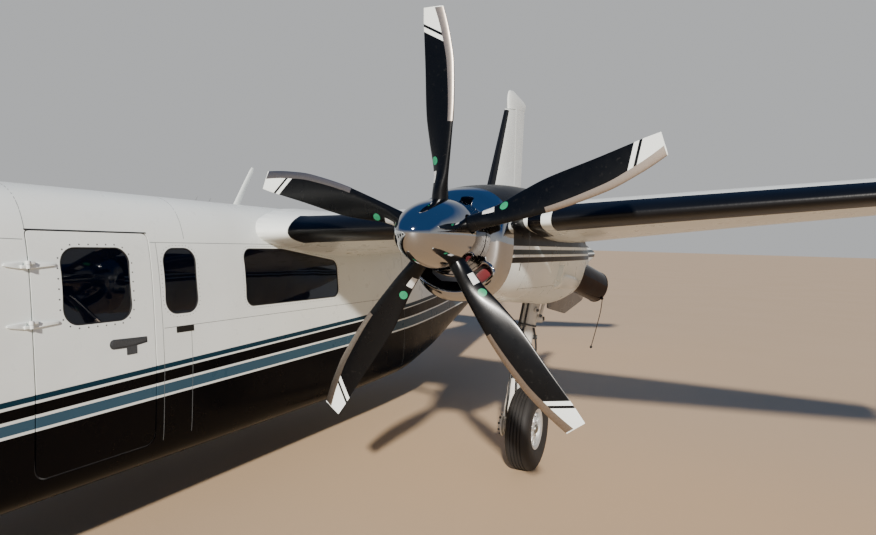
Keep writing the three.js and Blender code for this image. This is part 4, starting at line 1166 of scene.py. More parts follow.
# What is fastened on the door and behind it: corners as (station, height, corner radius)
HANDLE_DISH = [(-0.845, 1.148, 0.027), (-0.730, 1.146, 0.010), (-0.598, 1.162, 0.004), (-0.598, 1.196, 0.004),
               (-0.845, 1.203, 0.027)]
LATCH = [(-0.738, 1.106, 0.004), (-0.670, 1.108, 0.004), (-0.670, 1.160, 0.004), (-0.738, 1.160, 0.004)]
HANDLE = [(-0.835, 1.158, 0.018), (-0.720, 1.158, 0.010), (-0.610, 1.170, 0.004), (-0.610, 1.188, 0.004),
          (-0.835, 1.194, 0.018)]
BLANK_PLATE = framed(-0.378, 1.190, -0.240, 1.228, 0.003)
DRIP_RAIL = {"front": -1.268, "back": -0.548, "height": 1.7915, "width": 0.006, "proud": 0.003}


def side_plate(corners, sunk, proud, steps=8):
    """A thin plate on the left side of the fuselage."""
    return lofted([[on_side(s, z, proud=p) for s, z in filleted(corners, steps)] for p in (-sunk, proud)])


def add_door_fittings():
    """Flush handle in its dish with its latch plate, a drip rail, and the blank plate aft of the door."""
    dish = joined([side_plate(HANDLE_DISH, 0.004, 0.0014), side_plate(LATCH, 0.004, 0.0020)])
    add_piece("door_handle_dish", dish, "dark_steel", "grey_paint", "cabin_door")
    add_piece("door_handle", side_plate(HANDLE, 0.0, 0.006), "dark_steel", "grey_paint", "cabin_door")
    rail = [on_side(s, DRIP_RAIL["height"]) for s in np.linspace(DRIP_RAIL["front"], DRIP_RAIL["back"], 12)]
    add_piece("door_drip_rail", ribbon(fuselage_skin(), rail, DRIP_RAIL["width"], DRIP_RAIL["proud"]),
              "seal_rubber", "grey_paint")
    add_piece("blank_plate", side_plate(BLANK_PLATE, 0.003, 0.0015, 3), "dark_plate", "grey_paint")


def add_pane(name, node, stations, step, inside, body="airframe"):
    """Glass that follows the fuselage skin, just inside it, and fills its opening."""
    rings = wall_rings(*stations, step, GLASS_INSET, GLASS_INSET + GLASS_THICKNESS)
    add_skin(name, rings, fuselage_skin(), [inside], near=0.02, finish="tinted_acrylic", slot="tinted_glass",
             body=body, replaces=[node])


def add_windows():
    for side_name, side in SIDES:
        for name, corners in WINDOWS.items():
            on_door = side > 0 and name == "forward"
            node = "window_door" if on_door else f"window_{name}_{side_name}"
            body = "cabin_door" if on_door else "airframe"
            stations = [corner[0] for corner in corners]
            add_pane(node + "_pane", node, (min(stations) - 0.05, max(stations) + 0.05), 0.05,
                     window_prism(name, side, -GLASS_GAP), body)
            add_seal(node + "_seal", corners, side, 0.003, 0.0045, body=body)
        node = f"windscreen_{side_name}"
        add_pane(node + "_pane", node, (-3.1, -1.9), 0.04, windscreen_prism(side, -GLASS_GAP))
        outline = filleted(WINDSCREEN, 8)
        path = [fuselage_skin().tree.ray_cast(Vector((side * x, aft(-3.5), z)), Vector((0, 1, 0)))[0]
                for x, z in resampled(np.vstack([outline, outline[:1]]), 0.03)[:-1]]
        add_piece(node + "_seal", tube_along(path, 0.006, closed=True), "seal_rubber", "grey_paint")


# Seams on both sides as (station, height) corners
SEAMS = [
    [(-0.53, 1.737), (0.63, 1.737)],
    [(-0.47, 1.228), (2.55, 1.228)],
    [(-0.49, 1.735), (-0.48, 1.22), (-0.48, 0.56)],
    [(-0.26, 1.22), (-0.26, 0.56)],
    [(-2.40, 1.743), (-1.28, 1.743)],
]
# Seams round the body: station, height of their lower ends
RING_SEAMS = [(-3.10, 0.6), (-1.263, 1.78), (-0.265, 1.74), (2.60, 0.5), (3.40, 0.55), (4.50, 0.75),
              (5.70, 1.0), (6.90, 1.3)]


def over_the_top(station, low_z):
    """Points from the left side at a height over the roof to the right side."""
    ring = section(smooth_rows(FUSELAGE, station)[0], 240)
    upper = ring[ring[:, 2] > low_z]
    return upper[np.argsort(-np.arctan2(upper[:, 0], upper[:, 2] - 1.0))]


def add_seams():
    skin = fuselage_skin()
    width = sizes().seam
    strips = [ribbon(skin, over_the_top(station, low), width) for station, low in RING_SEAMS]
    rivets = []
    for _, side in SIDES:
        for corners in SEAMS:
            points = resampled([on_side(s, z, side) for s, z in corners], 0.05)
            strips.append(ribbon(skin, points, width))
            rivets.append(rivet_row(skin, points + np.array([0, 0.008, -0.011]), sizes().rivet * 0.7,
                                    sizes().rivet_pitch))
    add_piece("fuselage_seams", joined(strips), "seam_sealant", "grey_paint")
    add_piece("fuselage_rivets", joined(rivets), "striped_paint")


# Distance between the screws round each window
SCREW_PITCHES = {"forward": 0.052, "middle": 0.026, "rear": 0.021, "cockpit": 0.04}


def add_window_screws():
    for side_name, side in SIDES:
        fixed = []
        for name, corners in WINDOWS.items():
            outline = filleted(corners, 8, 0.018)
            points = [on_side(s, z, side) for s, z in np.vstack([outline, outline[:1]])]
            size = sizes().screw * (1.0 if name == "forward" else 0.6)
            row = rivet_row(fuselage_skin(), points, size, SCREW_PITCHES[name])
            if side > 0 and name == "forward":
                add_piece("door_window_screws", row, "dark_steel", "grey_paint", "cabin_door")
            else:
                fixed.append(row)
        add_piece(f"window_screws_{side_name}", joined(fixed), "dark_steel", "grey_paint")


# Roof aerial: leading and trailing [station, height], half thickness
AERIAL = [((0.875, 2.010), (1.010, 2.010), 0.010), ((0.902, 2.062), (0.980, 2.066), 0.008),
          ((0.998, 2.215), (1.058, 2.210), 0.0065), ((1.086, 2.352), (1.145, 2.352), 0.0055),
          ((1.112, 2.384), (1.146, 2.384), 0.003)]


def blade_aerial(rows, steps=10):
    f = 0.5 * (1 - np.cos(np.linspace(0, np.pi, steps)))
    rings = []
    for lead, trail, half in rows:
        right = [(h, aft(lead[0] + (trail[0] - lead[0]) * t), lead[1] + (trail[1] - lead[1]) * t)
                 for t, h in zip(f, half * np.sin(np.pi * f**0.7))]
        rings.append(right + [(-x, y, z) for x, y, z in right[-2:0:-1]])
    return lofted(rings)


def add_roof_fittings():
    add_piece("roof_aerial", blade_aerial(AERIAL))
    whips, raised = [], Vector((0, 0, 0.004))
    for station in (0.42, 0.56):
        foot = Vector((0.05, aft(station), 2.030))
        whips += [rod(foot, foot + Vector((0, 0.035, 0.055)), 0.0022, 0.001, 8),
                  rod(foot - raised, foot + raised, 0.012, 0.010, 16)]
    add_piece("roof_whips", joined(whips), "plated_steel", "grey_paint")


# Wings


def hinge_line(surface, row, hinge):
    top, bottom = (float(surface.offset(row, hinge, face)) for face in (1, -1))
    return (top + bottom) / 2, (top - bottom) / 2


def cut_ring(surface, row, layout, outside=0.15):
    """The space behind the lips of the fixed part, round the moving part's nose."""
    hinge, lip_top, lip_bottom = layout[3:]
    middle, radius = hinge_line(surface, row, hinge)
    wide = radius + NOSE_GAP
    start = math.pi / 2 + math.asin(lip_top * radius / wide)
    end = 1.5 * math.pi - math.asin(lip_bottom * radius / wide)
    angles = np.linspace(start, end, 16)
    reach, behind = radius + outside, 1 + outside / row[2]
    f = [hinge - lip_top * radius / row[2], *(hinge + wide * np.cos(angles) / row[2]),
         hinge - lip_bottom * radius / row[2], behind, behind]
    offset = middle + np.array([reach, *(wide * np.sin(angles)), -reach, -reach, reach])
    return surface.point(row, f, offset)


def moving_ring(surface, row, layout):
    """A hinged surface's section: a round nose about the hinge line, then the two skins."""
    hinge = layout[3]
    middle, radius = hinge_line(surface, row, hinge)
    angles = np.linspace(math.pi / 2, 1.5 * math.pi, 14)
    nose = surface.point(row, hinge + radius * np.cos(angles) / row[2], middle + radius * np.sin(angles))
    f = np.linspace(hinge, 1, 10)[1:]
    lower = surface.point(row, f, surface.offset(row, f, -1))
    upper = surface.point(row, f[-2::-1], surface.offset(row, f[-2::-1], 1))
    return np.vstack([nose, lower, upper])


def cutout(surface, layout):
    rows = straight_rows(surface.rows, layout[:2])
    return lofted([cut_ring(surface, row, layout) for row in rows])


def hinged_surface(surface, layout, step=0.12):
    first, last, clear = layout[:3]
    rows = straight_rows(surface.rows, spread(first + clear, last - clear, step))
    return lofted([moving_ring(surface, row, layout) for row in rows])


def leading_strip(surface, first, last, upper, lower, proud=0.0015, step=0.06):
    """A thin sheet wrapped round a leading edge as far back as upper and lower parts of the chord."""
    f_up = upper * np.linspace(1, 0, 12) ** 2
    f_low = lower * np.linspace(0, 1, 12)[1:] ** 2
    rings = []
    for row in straight_rows(surface.rows, spread(first, last, step)):
        lifts = []
        for grow in (proud, -0.002):
            over = surface.point(row, f_up, surface.offset(row, f_up, 1, grow))
            under = surface.point(row, f_low, surface.offset(row, f_low, -1, grow))
            if grow > 0:
                over[-3:, 1] -= proud
                under[:2, 1] -= proud
            lifts.append(np.vstack([over, under]))
        rings.append(np.vstack([lifts[0], lifts[1][::-1]]))
    return lofted(rings)


CONTROLS = [("flap_inner", FLAP_INNER), ("flap_outer", FLAP_OUTER), ("aileron", AILERON)]
# The boots' reach above and below as parts of the chord, and the inner and outer end of each
BOOT_UPPER, BOOT_LOWER = 0.055, 0.085
BOOTS = [(0.86, 1.925), (2.79, 4.62), (4.63, 6.70)]
# Covers round the leading edge just outboard of the nacelle: inner and outer end, lift, finish
COLLARS = [(2.645, 2.727, 0.003, "black_paint"), (2.727, 2.79, 0.004, "white_paint")]
COLLAR_UPPER, COLLAR_LOWER = 0.10, 0.17


def add_fixed_surface(node, surface, rows, layouts):
    """A wing's or tailplane's fixed part: the whole smooth surface, less the room for its moving parts."""
    whole = lofted([surface.ring(row) for row in rows])
    add_skin(f"{node}_skin", whole, Skin(whole), cuts=[cutout(surface, layout) for layout in layouts],
             near=0.001, along=0.85, replaces=[node])


def add_wings():
    for side_name, side in SIDES:
        wing = Surface(WING, WING_CAMBER, side)
        add_fixed_surface(f"wing_{side_name}", wing, tipped_rows(WING, 3, 0.14), [row for _, row in CONTROLS])
        for name, layout in CONTROLS:
            node = f"{name}_{side_name}"
            add_piece(node + "_skin", hinged_surface(wing, layout), body=node, replaces=[node])
        boots = [leading_strip(wing, first, last, BOOT_UPPER, BOOT_LOWER) for first, last in BOOTS]
        add_piece(f"wing_boots_{side_name}", joined(boots), "boot_rubber", "tyre_rubber")
        for n, (first, last, proud, finish) in enumerate(COLLARS):
            collar = leading_strip(wing, first, last, COLLAR_UPPER, COLLAR_LOWER, proud)
            add_piece(f"wing_collar_{side_name}_{n}", collar, finish)


# Tail

# The rudder's lower and upper end and its hinge line's station, then its lips' reach and its end clearance
RUDDER_FROM, RUDDER_TO, RUDDER_HINGE = 2.200, 4.400, 8.060
RUDDER_LIP, RUDDER_CLEAR = 0.45, 0.008
# The horn above the fin: leading and trailing [station, height], half width
CAP = [((7.725, 4.192), (8.722, 4.330), 0.048), ((7.700, 4.340), (8.765, 4.395), 0.048),
       ((7.730, 4.470), (8.772, 4.425), 0.038), ((7.800, 4.530), (8.765, 4.445), 0.020),
       ((7.990, 4.560), (8.600, 4.490), 0.004)]
# The fillet ahead of the fin, as (station, height)
DORSAL = [(4.90, 1.90), (4.90, 1.985), (5.40, 2.075), (5.90, 2.200), (6.64, 2.450), (7.10, 2.450),
          (7.10, 1.90)]
CAP_CLEARANCE = 0.012


def rudder_layout(row):
    return 0, 0, 0, (RUDDER_HINGE - row[1]) / row[2], RUDDER_LIP, RUDDER_LIP


def cap_rings(steps=18):
    rows = smooth_rows([(i, *lead, *trail, half) for i, (lead, trail, half) in enumerate(CAP)],
                       np.linspace(0, len(CAP) - 1, 17))
    f = 0.5 * (1 - np.cos(np.linspace(0, np.pi, steps)))
    rings = []
    for _, lead_s, lead_z, trail_s, trail_z, half in rows:
        right = np.stack([half * half_thickness(f, 0.1) / 0.05, aft(lead_s + (trail_s - lead_s) * f),
                          lead_z + (trail_z - lead_z) * f], axis=1)
        rings.append(np.vstack([right, right[-2:0:-1] * [-1, 1, 1]]))
    return rings


def above_cap(clearance):
    """All that lies above the lower edge of the rudder's horn, or a little below that edge."""
    lead, trail, _ = CAP[0]
    slope = (trail[1] - lead[1]) / (trail[0] - lead[0])
    edges = [(s, lead[1] + slope * (s - lead[0]) - clearance) for s in (7.3, 9.0)]
    return lofted([[(x, aft(s), z) for s, z in edges + [(9.0, 5.0), (7.3, 5.0)]] for x in (-0.3, 0.3)])


def add_fin_and_rudder():
    fin = Surface(FIN, upright=True)
    whole = lofted([fin.ring(row) for row in straight_rows(FIN, spread(FIN[0][0], FIN[-1][0], 0.08))])
    made = new_object("fin_skin", whole)
    cut_rows = straight_rows(FIN, spread(RUDDER_FROM, RUDDER_TO + 0.05, 0.3))
    carve(made, [above_cap(CAP_CLEARANCE)])
    carve(made, [lofted([cut_ring(fin, row, rudder_layout(row), outside=0.4) for row in cut_rows])])
    keep_curve(made, Skin(whole), near=0.001, along=0.85)
    dress(made, replaces=["fin"], sharp=None)
    rows = straight_rows(FIN, spread(RUDDER_FROM + RUDDER_CLEAR, 4.33, 0.1))
    rudder = new_object("rudder_skin", lofted([moving_ring(fin, row, rudder_layout(row)) for row in rows]))
    carve(rudder, [above_cap(-0.02)])
    dress(rudder, body="rudder", replaces=["rudder"])
    add_piece("rudder_horn", lofted(cap_rings()), body="rudder")
    add_piece("fin_boot", leading_strip(fin, 2.50, 4.15, 0.09, 0.09, step=0.08), "boot_rubber", "tyre_rubber")
    add_dorsal()


def add_dorsal():
    """The long fillet ahead of the fin, rounded along its upper edge."""
    half = [(0.012, 0.0), (0.028, 0.006), (0.036, 0.02)]
    rings = [[(x, aft(s), z - (drop if z > 1.95 else 0)) for s, z in DORSAL]
             for x, drop in [(-x, drop) for x, drop in reversed(half)] + half]
    add_piece("dorsal_fin", lofted(rings))


def add_tailplanes():
    for side_name, side in SIDES:
        plane = Surface(TAILPLANE, side=side)
        add_fixed_surface(f"tailplane_{side_name}", plane, tipped_rows(TAILPLANE, 1, 0.12), [ELEVATOR])
        node = f"elevator_{side_name}"
        add_piece(node + "_skin", hinged_surface(plane, ELEVATOR), body=node, replaces=[node])
        add_piece(f"tailplane_boot_{side_name}", leading_strip(plane, 0.45, 2.80, 0.11, 0.11), "boot_rubber",
                  "tyre_rubber")


# Nacelles

NACELLE_POINTS = 96
# The slot of the leg and its door: station, half width; it reaches up to WELL_TOP
WELL = [(1.50, 0.110), (2.90, 0.110), (3.10, 0.080)]
WELL_TOP = 1.640
LIP_STATION = COWL[0][0]
# The intake's throat: station, size against its mouth
THROAT = ((0.215, 1.0), (0.33, 0.97), (0.53, 0.93))
INTAKE = {"inner": 0.236, "outer": 0.335, "start": 222, "end": 318}


def well_prism(x):
    """The slot for a leg and its door."""
    corners = ((1, 1.0), (1, WELL_TOP), (-1, WELL_TOP), (-1, 1.0))
    return lofted([[(x + side * half, aft(station), z) for side, z in corners] for station, half in WELL])


def intake_outline(grow=0.0, steps=14):
    """The smile-shaped air intake below the spinner, as (across, up) from the shaft."""
    outer, inner = INTAKE["outer"] + grow, INTAKE["inner"] - grow
    start, end = (math.radians(INTAKE[key]) for key in ("start", "end"))
    angles = np.linspace(start - grow / outer, end + grow / outer, steps)[1:-1]
    middle, half = (outer + inner) / 2, (outer - inner) / 2
    ends = []
    for angle, turn in ((end, 1), (start, -1)):
        out = np.array([math.cos(angle), math.sin(angle)])
        along = np.array([-out[1], out[0]]) * turn
        bends = np.linspace(0, math.pi, 9)[::turn, None]
        ends.append(out * (middle + half * np.cos(bends)) + along * half * 0.6 * np.sin(bends))
    ways = np.stack([np.cos(angles), np.sin(angles)], axis=1)
    return np.vstack([outer * ways, ends[0], inner * ways[::-1], ends[1]])


def add_nacelles():
    for side_name, side in SIDES:
        x = side * ENGINE_X
        stations = spread(NACELLE[0][0], NACELLE[-1][0], 0.05)
        outer, inner = (body_rings(NACELLE, stations, NACELLE_POINTS, inset, x) for inset in (0.0, 0.012))
        skin = SKINS[f"nacelle_{side_name}"] = Skin(lofted(outer))
        add_skin(f"nacelle_{side_name}_skin", walled(outer, inner), skin, cuts=[well_prism(x)],
                 finish="nacelle_paint", replaces=[f"nacelle_{side_name}"])
        add_cowl(side_name, x)
        add_intake_plug(side_name, x, side)
        add_nacelle_details(side_name, side)
        add_exhaust(side_name, side)
    add_hanging_line()


def intake_rings(x, grow, places):
    """The intake's outline at (station, size) places, the size taken from the shaft."""
    return [[(x + a * size, aft(station), SHAFT_Z + b * size) for a, b in intake_outline(grow)]
            for station, size in places]


def add_cowl(side_name, x):
    """The polished ring round the intake, its rolled lip and its throat, lined black as painted shade."""
    rings = body_rings(COWL, spread(COWL[0][0], COWL[-1][0], 0.006), NACELLE_POINTS, x=x)
    front = section(COWL[0], NACELLE_POINTS, 0.0, x)
    centre = np.array([x, front[0, 1], SHAFT_Z])
    faces = [centre + (front - centre) * part for part in (0.35, 0.6, 0.85)]
    bowl = new_object(f"cowl_{side_name}_bowl", lofted(np.vstack([faces, rings])))
    shaft_hole = rod((x, aft(0.0), SHAFT_Z), (x, aft(0.5), SHAFT_Z), 0.062, sides=40)
    carve(bowl, [lofted(intake_rings(x, 0.0, ((0.0, 1), (0.5, 1)))), shaft_hole])
    dress(bowl, "polished_aluminium", "polished_metal", replaces=[f"cowl_ring_{side_name}"], sharp=32)
    outline = intake_outline()
    lip = [(x + a, aft(LIP_STATION + 0.004), SHAFT_Z + b)
           for a, b in resampled(np.vstack([outline, outline[:1]]), 0.012)[:-1]]
    add_piece(f"intake_{side_name}_lip", tube_along(lip, 0.010, 12, closed=True), "polished_aluminium",
              "polished_metal")
    # The throat's black lining is painted shade, for the dark inside the intake
    throat = walled(*[intake_rings(x, grow, THROAT) for grow in (0.002, -0.002)])
    add_piece(f"intake_{side_name}_throat", throat, "soot_and_painted_shade", "grey_paint")


def on_nacelle(station, z, side, proud=0.0):
    """A point on a nacelle's outboard face at a station and a height."""
    return Vector((side * (ENGINE_X + float(skin_x(station, z, NACELLE)[0]) + proud), aft(station), z))


# The blister on the nacelle's outboard face: station, middle height, half height, height off the skin
BLISTER = [(1.355, 1.527, 0.046, 0.034), (1.375, 1.526, 0.056, 0.044), (1.45, 1.522, 0.060, 0.047),
           (1.60, 1.510, 0.056, 0.044), (1.75, 1.497, 0.048, 0.037), (1.90, 1.484, 0.035, 0.026),
           (2.02, 1.472, 0.019, 0.012), (2.07, 1.467, 0.006, 0.002)]
# The blister's flange, the air slit and the seams, by their corners' stations and heights
FLANGE = framed(1.318, 1.533, 1.344, 1.644, 0.006)
NACELLE_SLIT = [(0.490, 1.668), (0.492, 1.624)]
NACELLE_SEAMS = [[(1.325, 1.955), (1.325, 1.44)], [(0.62, 1.955), (0.62, 1.50)],
                 [(0.62, 1.505), (2.20, 1.505)], [(2.20, 1.90), (2.20, 1.40)], [(0.62, 1.955), (2.20, 1.955)]]


def add_nacelle_details(side_name, side):
    """Air slit, cooling blister with its flanged front, and the cowling's seams with their fasteners."""
    skin = SKINS[f"nacelle_{side_name}"]
    angles = np.linspace(-np.pi / 2, np.pi / 2, 19)
    rings = []
    for station, z, half, proud in smooth_rows(BLISTER, spread(BLISTER[0][0], BLISTER[-1][0], 0.02)):
        outside = [on_nacelle(station, z + half * math.sin(a), side, proud * math.cos(a) ** 0.8)
                   for a in angles]
        inside = [on_nacelle(station, z + half * math.sin(a) * 0.98, side, -0.006) for a in angles[::-1]]
        rings.append(outside + inside)
    flange = lofted([[on_nacelle(s, z, side, proud) for s, z in filleted(FLANGE, 4)]
                     for proud in (-0.004, 0.034, 0.037)])
    add_piece(f"nacelle_blister_{side_name}", joined([lofted(rings), flange]))
    # The air slit is a black strip on the skin: painted shade for the opening
    slit = ribbon(skin, resampled([on_nacelle(s, z, side) for s, z in NACELLE_SLIT], 0.008), 0.012, 0.0008)
    add_piece(f"nacelle_slit_{side_name}", slit, "soot_and_painted_shade", "grey_paint")
    seams, studs = [], []
    for corners in NACELLE_SEAMS:
        points = resampled([on_nacelle(s, z, side) for s, z in corners], 0.04)
        seams.append(ribbon(skin, points, sizes().seam * 0.7))
        studs.append(rivet_row(skin, points + np.array([0, 0.012, -0.009]), sizes().rivet, 0.11))
    add_piece(f"nacelle_seams_{side_name}", joined(seams), "seam_sealant", "grey_paint")
    add_piece(f"nacelle_studs_{side_name}", joined(studs), "plated_steel", "grey_paint")


# The intake plug: angle from straight down, depth behind the lip, half sizes
PLUG_TURN, PLUG_DEPTH, PLUG_HALVES = math.radians(36), 0.085, (0.050, 0.035, 0.038)


def add_intake_plug(side_name, x, side):
    """A soft red plug pushed into the outboard end of the intake."""
    angle = 1.5 * math.pi + side * PLUG_TURN
    middle = (INTAKE["outer"] + INTAKE["inner"]) / 2
    centre = Vector((x + middle * math.cos(angle), aft(LIP_STATION + PLUG_DEPTH),
                     SHAFT_Z + middle * math.sin(angle)))
    made = bmesh.new()
    bmesh.ops.create_uvsphere(made, u_segments=28, v_segments=18, radius=1.0)
    for vertex in made.verts:
        vertex.co = [math.copysign(abs(c) ** 0.7, c) * half for c, half in zip(vertex.co, PLUG_HALVES)]
    bmesh.ops.rotate(made, matrix=Matrix.Rotation(-side * PLUG_TURN, 3, "Y"), verts=made.verts)
    bmesh.ops.translate(made, vec=centre, verts=made.verts)
    plug = add_piece(f"intake_plug_{side_name}", part_of(made), "plug_nylon", "grey_paint")


# The exhaust duct's middle line on the left: x, station, height, and its half width and half height
EXHAUST = [(2.530, 2.150, 1.558, 0.108, 0.133), (2.579, 2.283, 1.517, 0.109, 0.134),
           (2.627, 2.417, 1.473, 0.110, 0.135), (2.676, 2.550, 1.429, 0.110, 0.135)]
EXHAUST_SKIN = 0.006


def exhaust_rings(side, grow, steps=24, sides=48):
    rows = smooth_rows([(i, *row) for i, row in enumerate(EXHAUST)], np.linspace(0, len(EXHAUST) - 1, steps))
    centres = np.stack([side * rows[:, 1], aft(rows[:, 2]), rows[:, 3]], axis=1)
    angles = turns(sides)[:, None]
    rings = []
    for centre, way, row in zip(centres, np.gradient(centres, axis=0), rows):
        way = way / np.linalg.norm(way)
        across = np.cross(way, [0, 0, 1])
        across /= np.linalg.norm(across)
        up = np.cross(across, way)
        rings.append(centre + (row[4] + grow) * np.cos(angles) * across
                     + (row[5] + grow) * np.sin(angles) * up)
    return np.array(rings)


def add_exhaust(side_name, side):
    """The duct with its rolled lip, and the black liner with the floor that closes it: soot and painted shade
    inside the duct.
    """
    duct = walled(exhaust_rings(side, 0), exhaust_rings(side, -EXHAUST_SKIN))
    add_piece(f"exhaust_{side_name}_duct", duct, "exhaust_steel", "exhaust_steel",
              replaces=[f"exhaust_{side_name}"])
    liner = walled(*[exhaust_rings(side, -EXHAUST_SKIN - gap)[:-2] for gap in (0.001, 0.003)])
    floor = lofted(exhaust_rings(side, -EXHAUST_SKIN - 0.004)[3:5])
    add_piece(f"exhaust_{side_name}_liner", joined([liner, floor]), "soot_and_painted_shade", "exhaust_steel")
    lip = tube_along(exhaust_rings(side, -0.003)[-1], 0.006, 10, closed=True)
    add_piece(f"exhaust_{side_name}_lip", lip, "exhaust_steel", "exhaust_steel")


# The line tied to the left exhaust: where it leaves the lip, how far it drifts as it hangs, and its end
LINE_START, LINE_RADIUS, KNOT_SIZE = (2.741, 0.353, 1.334), 0.0035, 0.010
LINE_DRIFT = [(0.0, 0.0), (0.001, 0.012), (-0.003, 0.06), (-0.012, 0.13), (-0.032, 0.22), (-0.055, 0.32),
              (-0.082, 0.43)]
LINE_SIDE = (0.908, 0.419, 0.0)


def knot(centre, size, radius):
    """A small overhand knot as a closed trefoil tube."""
    path = []
    for a in turns(48):
        reach = (2 + math.cos(3 * a)) / 3
        path.append(Vector(centre) + size * Vector((reach * math.cos(2 * a), math.sin(3 * a) * 0.4,
                                                    reach * math.sin(2 * a))))
    return tube_along(path, radius, closed=True)


def add_hanging_line():
    """A thin line knotted to the left exhaust's lip, hanging free with a knot at its end."""
    start, across = Vector(LINE_START), Vector(LINE_SIDE)
    path = smooth_path([start + across * drift - Vector((0, 0, drop)) for drift, drop in LINE_DRIFT])
    line = add_piece("exhaust_line", tube_along(path, LINE_RADIUS, 10), "hose_rubber", "grey_paint")
    knots = [add_piece(f"exhaust_line_{name}_knot", knot(place, KNOT_SIZE, LINE_RADIUS), "hose_rubber",
                       "grey_paint") for name, place in (("upper", path[1]), ("lower", path[-1]))]


# Propellers


def blade_ring(row, angles=None, grow=0.0):
    """A blade's section: bulged on its front face, flatter behind, and thin at its trailing edge."""
    radius, trailing, leading, thickness, pitch = row
    middle, half = (leading + trailing) / 2, (leading - trailing) / 2
    turn = math.radians(pitch)
    angles = turns(32) if angles is None else angles
    root = max(0.0, min(1.0, (0.36 - radius) / 0.16))
    along = (half + grow) * np.cos(angles)
    skew = 1 + (1 - root) * 0.35 * np.cos(angles)
    face = np.where(np.sin(angles) > 0, root + (1 - root) * 0.7, root + (1 - root) * 1.3)
    proud = (thickness / 2 + grow) * np.sin(angles) * skew * face
    x = middle + along * math.cos(turn) + proud * math.sin(turn)
    y = -along * math.sin(turn) + proud * math.cos(turn)
    return np.stack([x, y, np.full(len(angles), radius)], axis=1)


def blade_part():
    rings = [blade_ring(row) for row in smooth_rows(BLADE, spread(BLADE[0][0], BLADE[-1][0], 0.025))]
    centre = rings[-1].mean(axis=0)
    rings.append(centre + (rings[-1] - centre) * [0.97, 0.4, 1] + [0, 0, 0.0008])
    return lofted(rings)


def nickel_part():
    """The guard that wraps the outer half of the front edge; it widens towards the tip."""
    rings = []
    for row in smooth_rows(BLADE, spread(GUARD[0][0], GUARD[1][0], 0.02)):
        width = np.interp(row[0], *zip(*GUARD))
        angles = np.linspace(-math.acos(1 - 2 * width / (row[2] - row[1])), 0.5, 15)
        rings.append(np.vstack([blade_ring(row, angles, 0.0012), blade_ring(row, angles, -0.001)[::-1]]))
    return lofted(rings)


def blade_point(radius, across):
    """A point on a blade's front face; across runs from -1 at the trailing edge to 1."""
    return blade_ring(smooth_rows(BLADE, radius)[0], np.array([-math.acos(across)]))[0]


def film_part(rows, closed_round=False, lift=0.0009):
    """A thin film on a blade's front face, through rows of (radius, across) places."""
    points = [[blade_point(radius, across) - [0, lift, 0] for radius, across in row] for row in rows]
    return np.array(points).reshape(-1, 3), loft_faces(len(rows), len(rows[0]), closed_round)


# The label and the round mark on a blade: radius, place across its front face, size
LABEL_RADII, LABEL_ACROSS = (0.284, 0.350), (-0.90, -0.24)
MARK_RADIUS, MARK_ACROSS, MARK_SIZE = 0.408, -0.50, 0.024
# The front edge's guard: radius, width
GUARD = ((0.62, 0.028), (1.255, 0.050))


def label_part():
    return film_part([[(radius, across) for across in np.linspace(*LABEL_ACROSS, 12)]
                      for radius in np.linspace(*LABEL_RADII, 6)])


def mark_part():
    row = smooth_rows(BLADE, MARK_RADIUS)[0]
    half = (row[2] - row[1]) / 2
    return film_part([[(MARK_RADIUS + size * math.cos(a), MARK_ACROSS + size / half * math.sin(a))
                       for a in turns(24)] for size in np.linspace(0.05, 1, 5) * MARK_SIZE], True)


def spinner_part():
    """The spinner as a closed shell of revolution, before the blades' holes are cut."""
    angles = np.linspace(0, np.pi / 2, 48)
    nose = np.stack([SPINNER["radius"] * np.sin(angles),
                     SPINNER["middle"] - SPINNER["length"] * np.cos(angles)], axis=1)
    return lathed([*nose, (SPINNER["radius"], SPINNER["back"]), (0.0, SPINNER["back"])], 128, "y")


def add_propellers():
    ways = [Matrix.Rotation(2 * math.pi * k / BLADE_COUNT, 4, "Y") for k in range(BLADE_COUNT)]
    hole = rod((0, 0, 0.10), (0, 0, 0.26), 0.056, sides=32)
    for side_name, side in SIDES:
        hub = (Matrix.Translation((side * ENGINE_X, PROPELLER_Y, SHAFT_Z))
               @ Matrix.Rotation(PARKED_TURN[side_name], 4, "Y"))
        body = f"propeller_{side_name}"
        core = lathed([(0, -0.10), (0.11, -0.10), (0.13, -0.08), (0.13, 0.199), (0, 0.199)], 48, "y")
        blades = [moved(blade_part(), way) for way in ways]
        add_piece(f"blades_{side_name}", joined(blades + [core]), "blade_paint", "blade_paint", body, [body],
                  sharp=50, at=hub)
        for name, part, finish in (("blade_guards", nickel_part(), "nickel_strip"),
                                   ("blade_labels", label_part(), "blank_label"),
                                   ("blade_marks", mark_part(), "round_mark")):
            copies = joined([moved(part, way) for way in ways])
            add_piece(f"{name}_{side_name}", copies, finish, "blade_paint", body, at=hub)
        shell = spinner_part()
        add_skin(f"spinner_{side_name}_shell", shell, Skin(shell), cuts=[moved(hole, way) for way in ways],
                 near=0.001, along=0.8, at=hub, finish="polished_aluminium", slot="polished_metal", body=body,
                 replaces=[f"spinner_{side_name}"])
        outward = [Vector((math.cos(a), 0, math.sin(a))) for a in turns(SPINNER_SCREWS)]
        places = [way * SPINNER["radius"] + Vector((0, SPINNER["back"] - 0.03, 0)) for way in outward]
        add_piece(f"spinner_screws_{side_name}", domes(places, outward, 0.004), "plated_steel",
                  "polished_metal", body, at=hub)


# Wheels

# Radius and width of the tyres, and radius of their rims
MAIN = {"radius": 0.325, "width": 0.190, "rim": 0.148}
NOSE = {"radius": 0.222, "width": 0.160, "rim": 0.082}


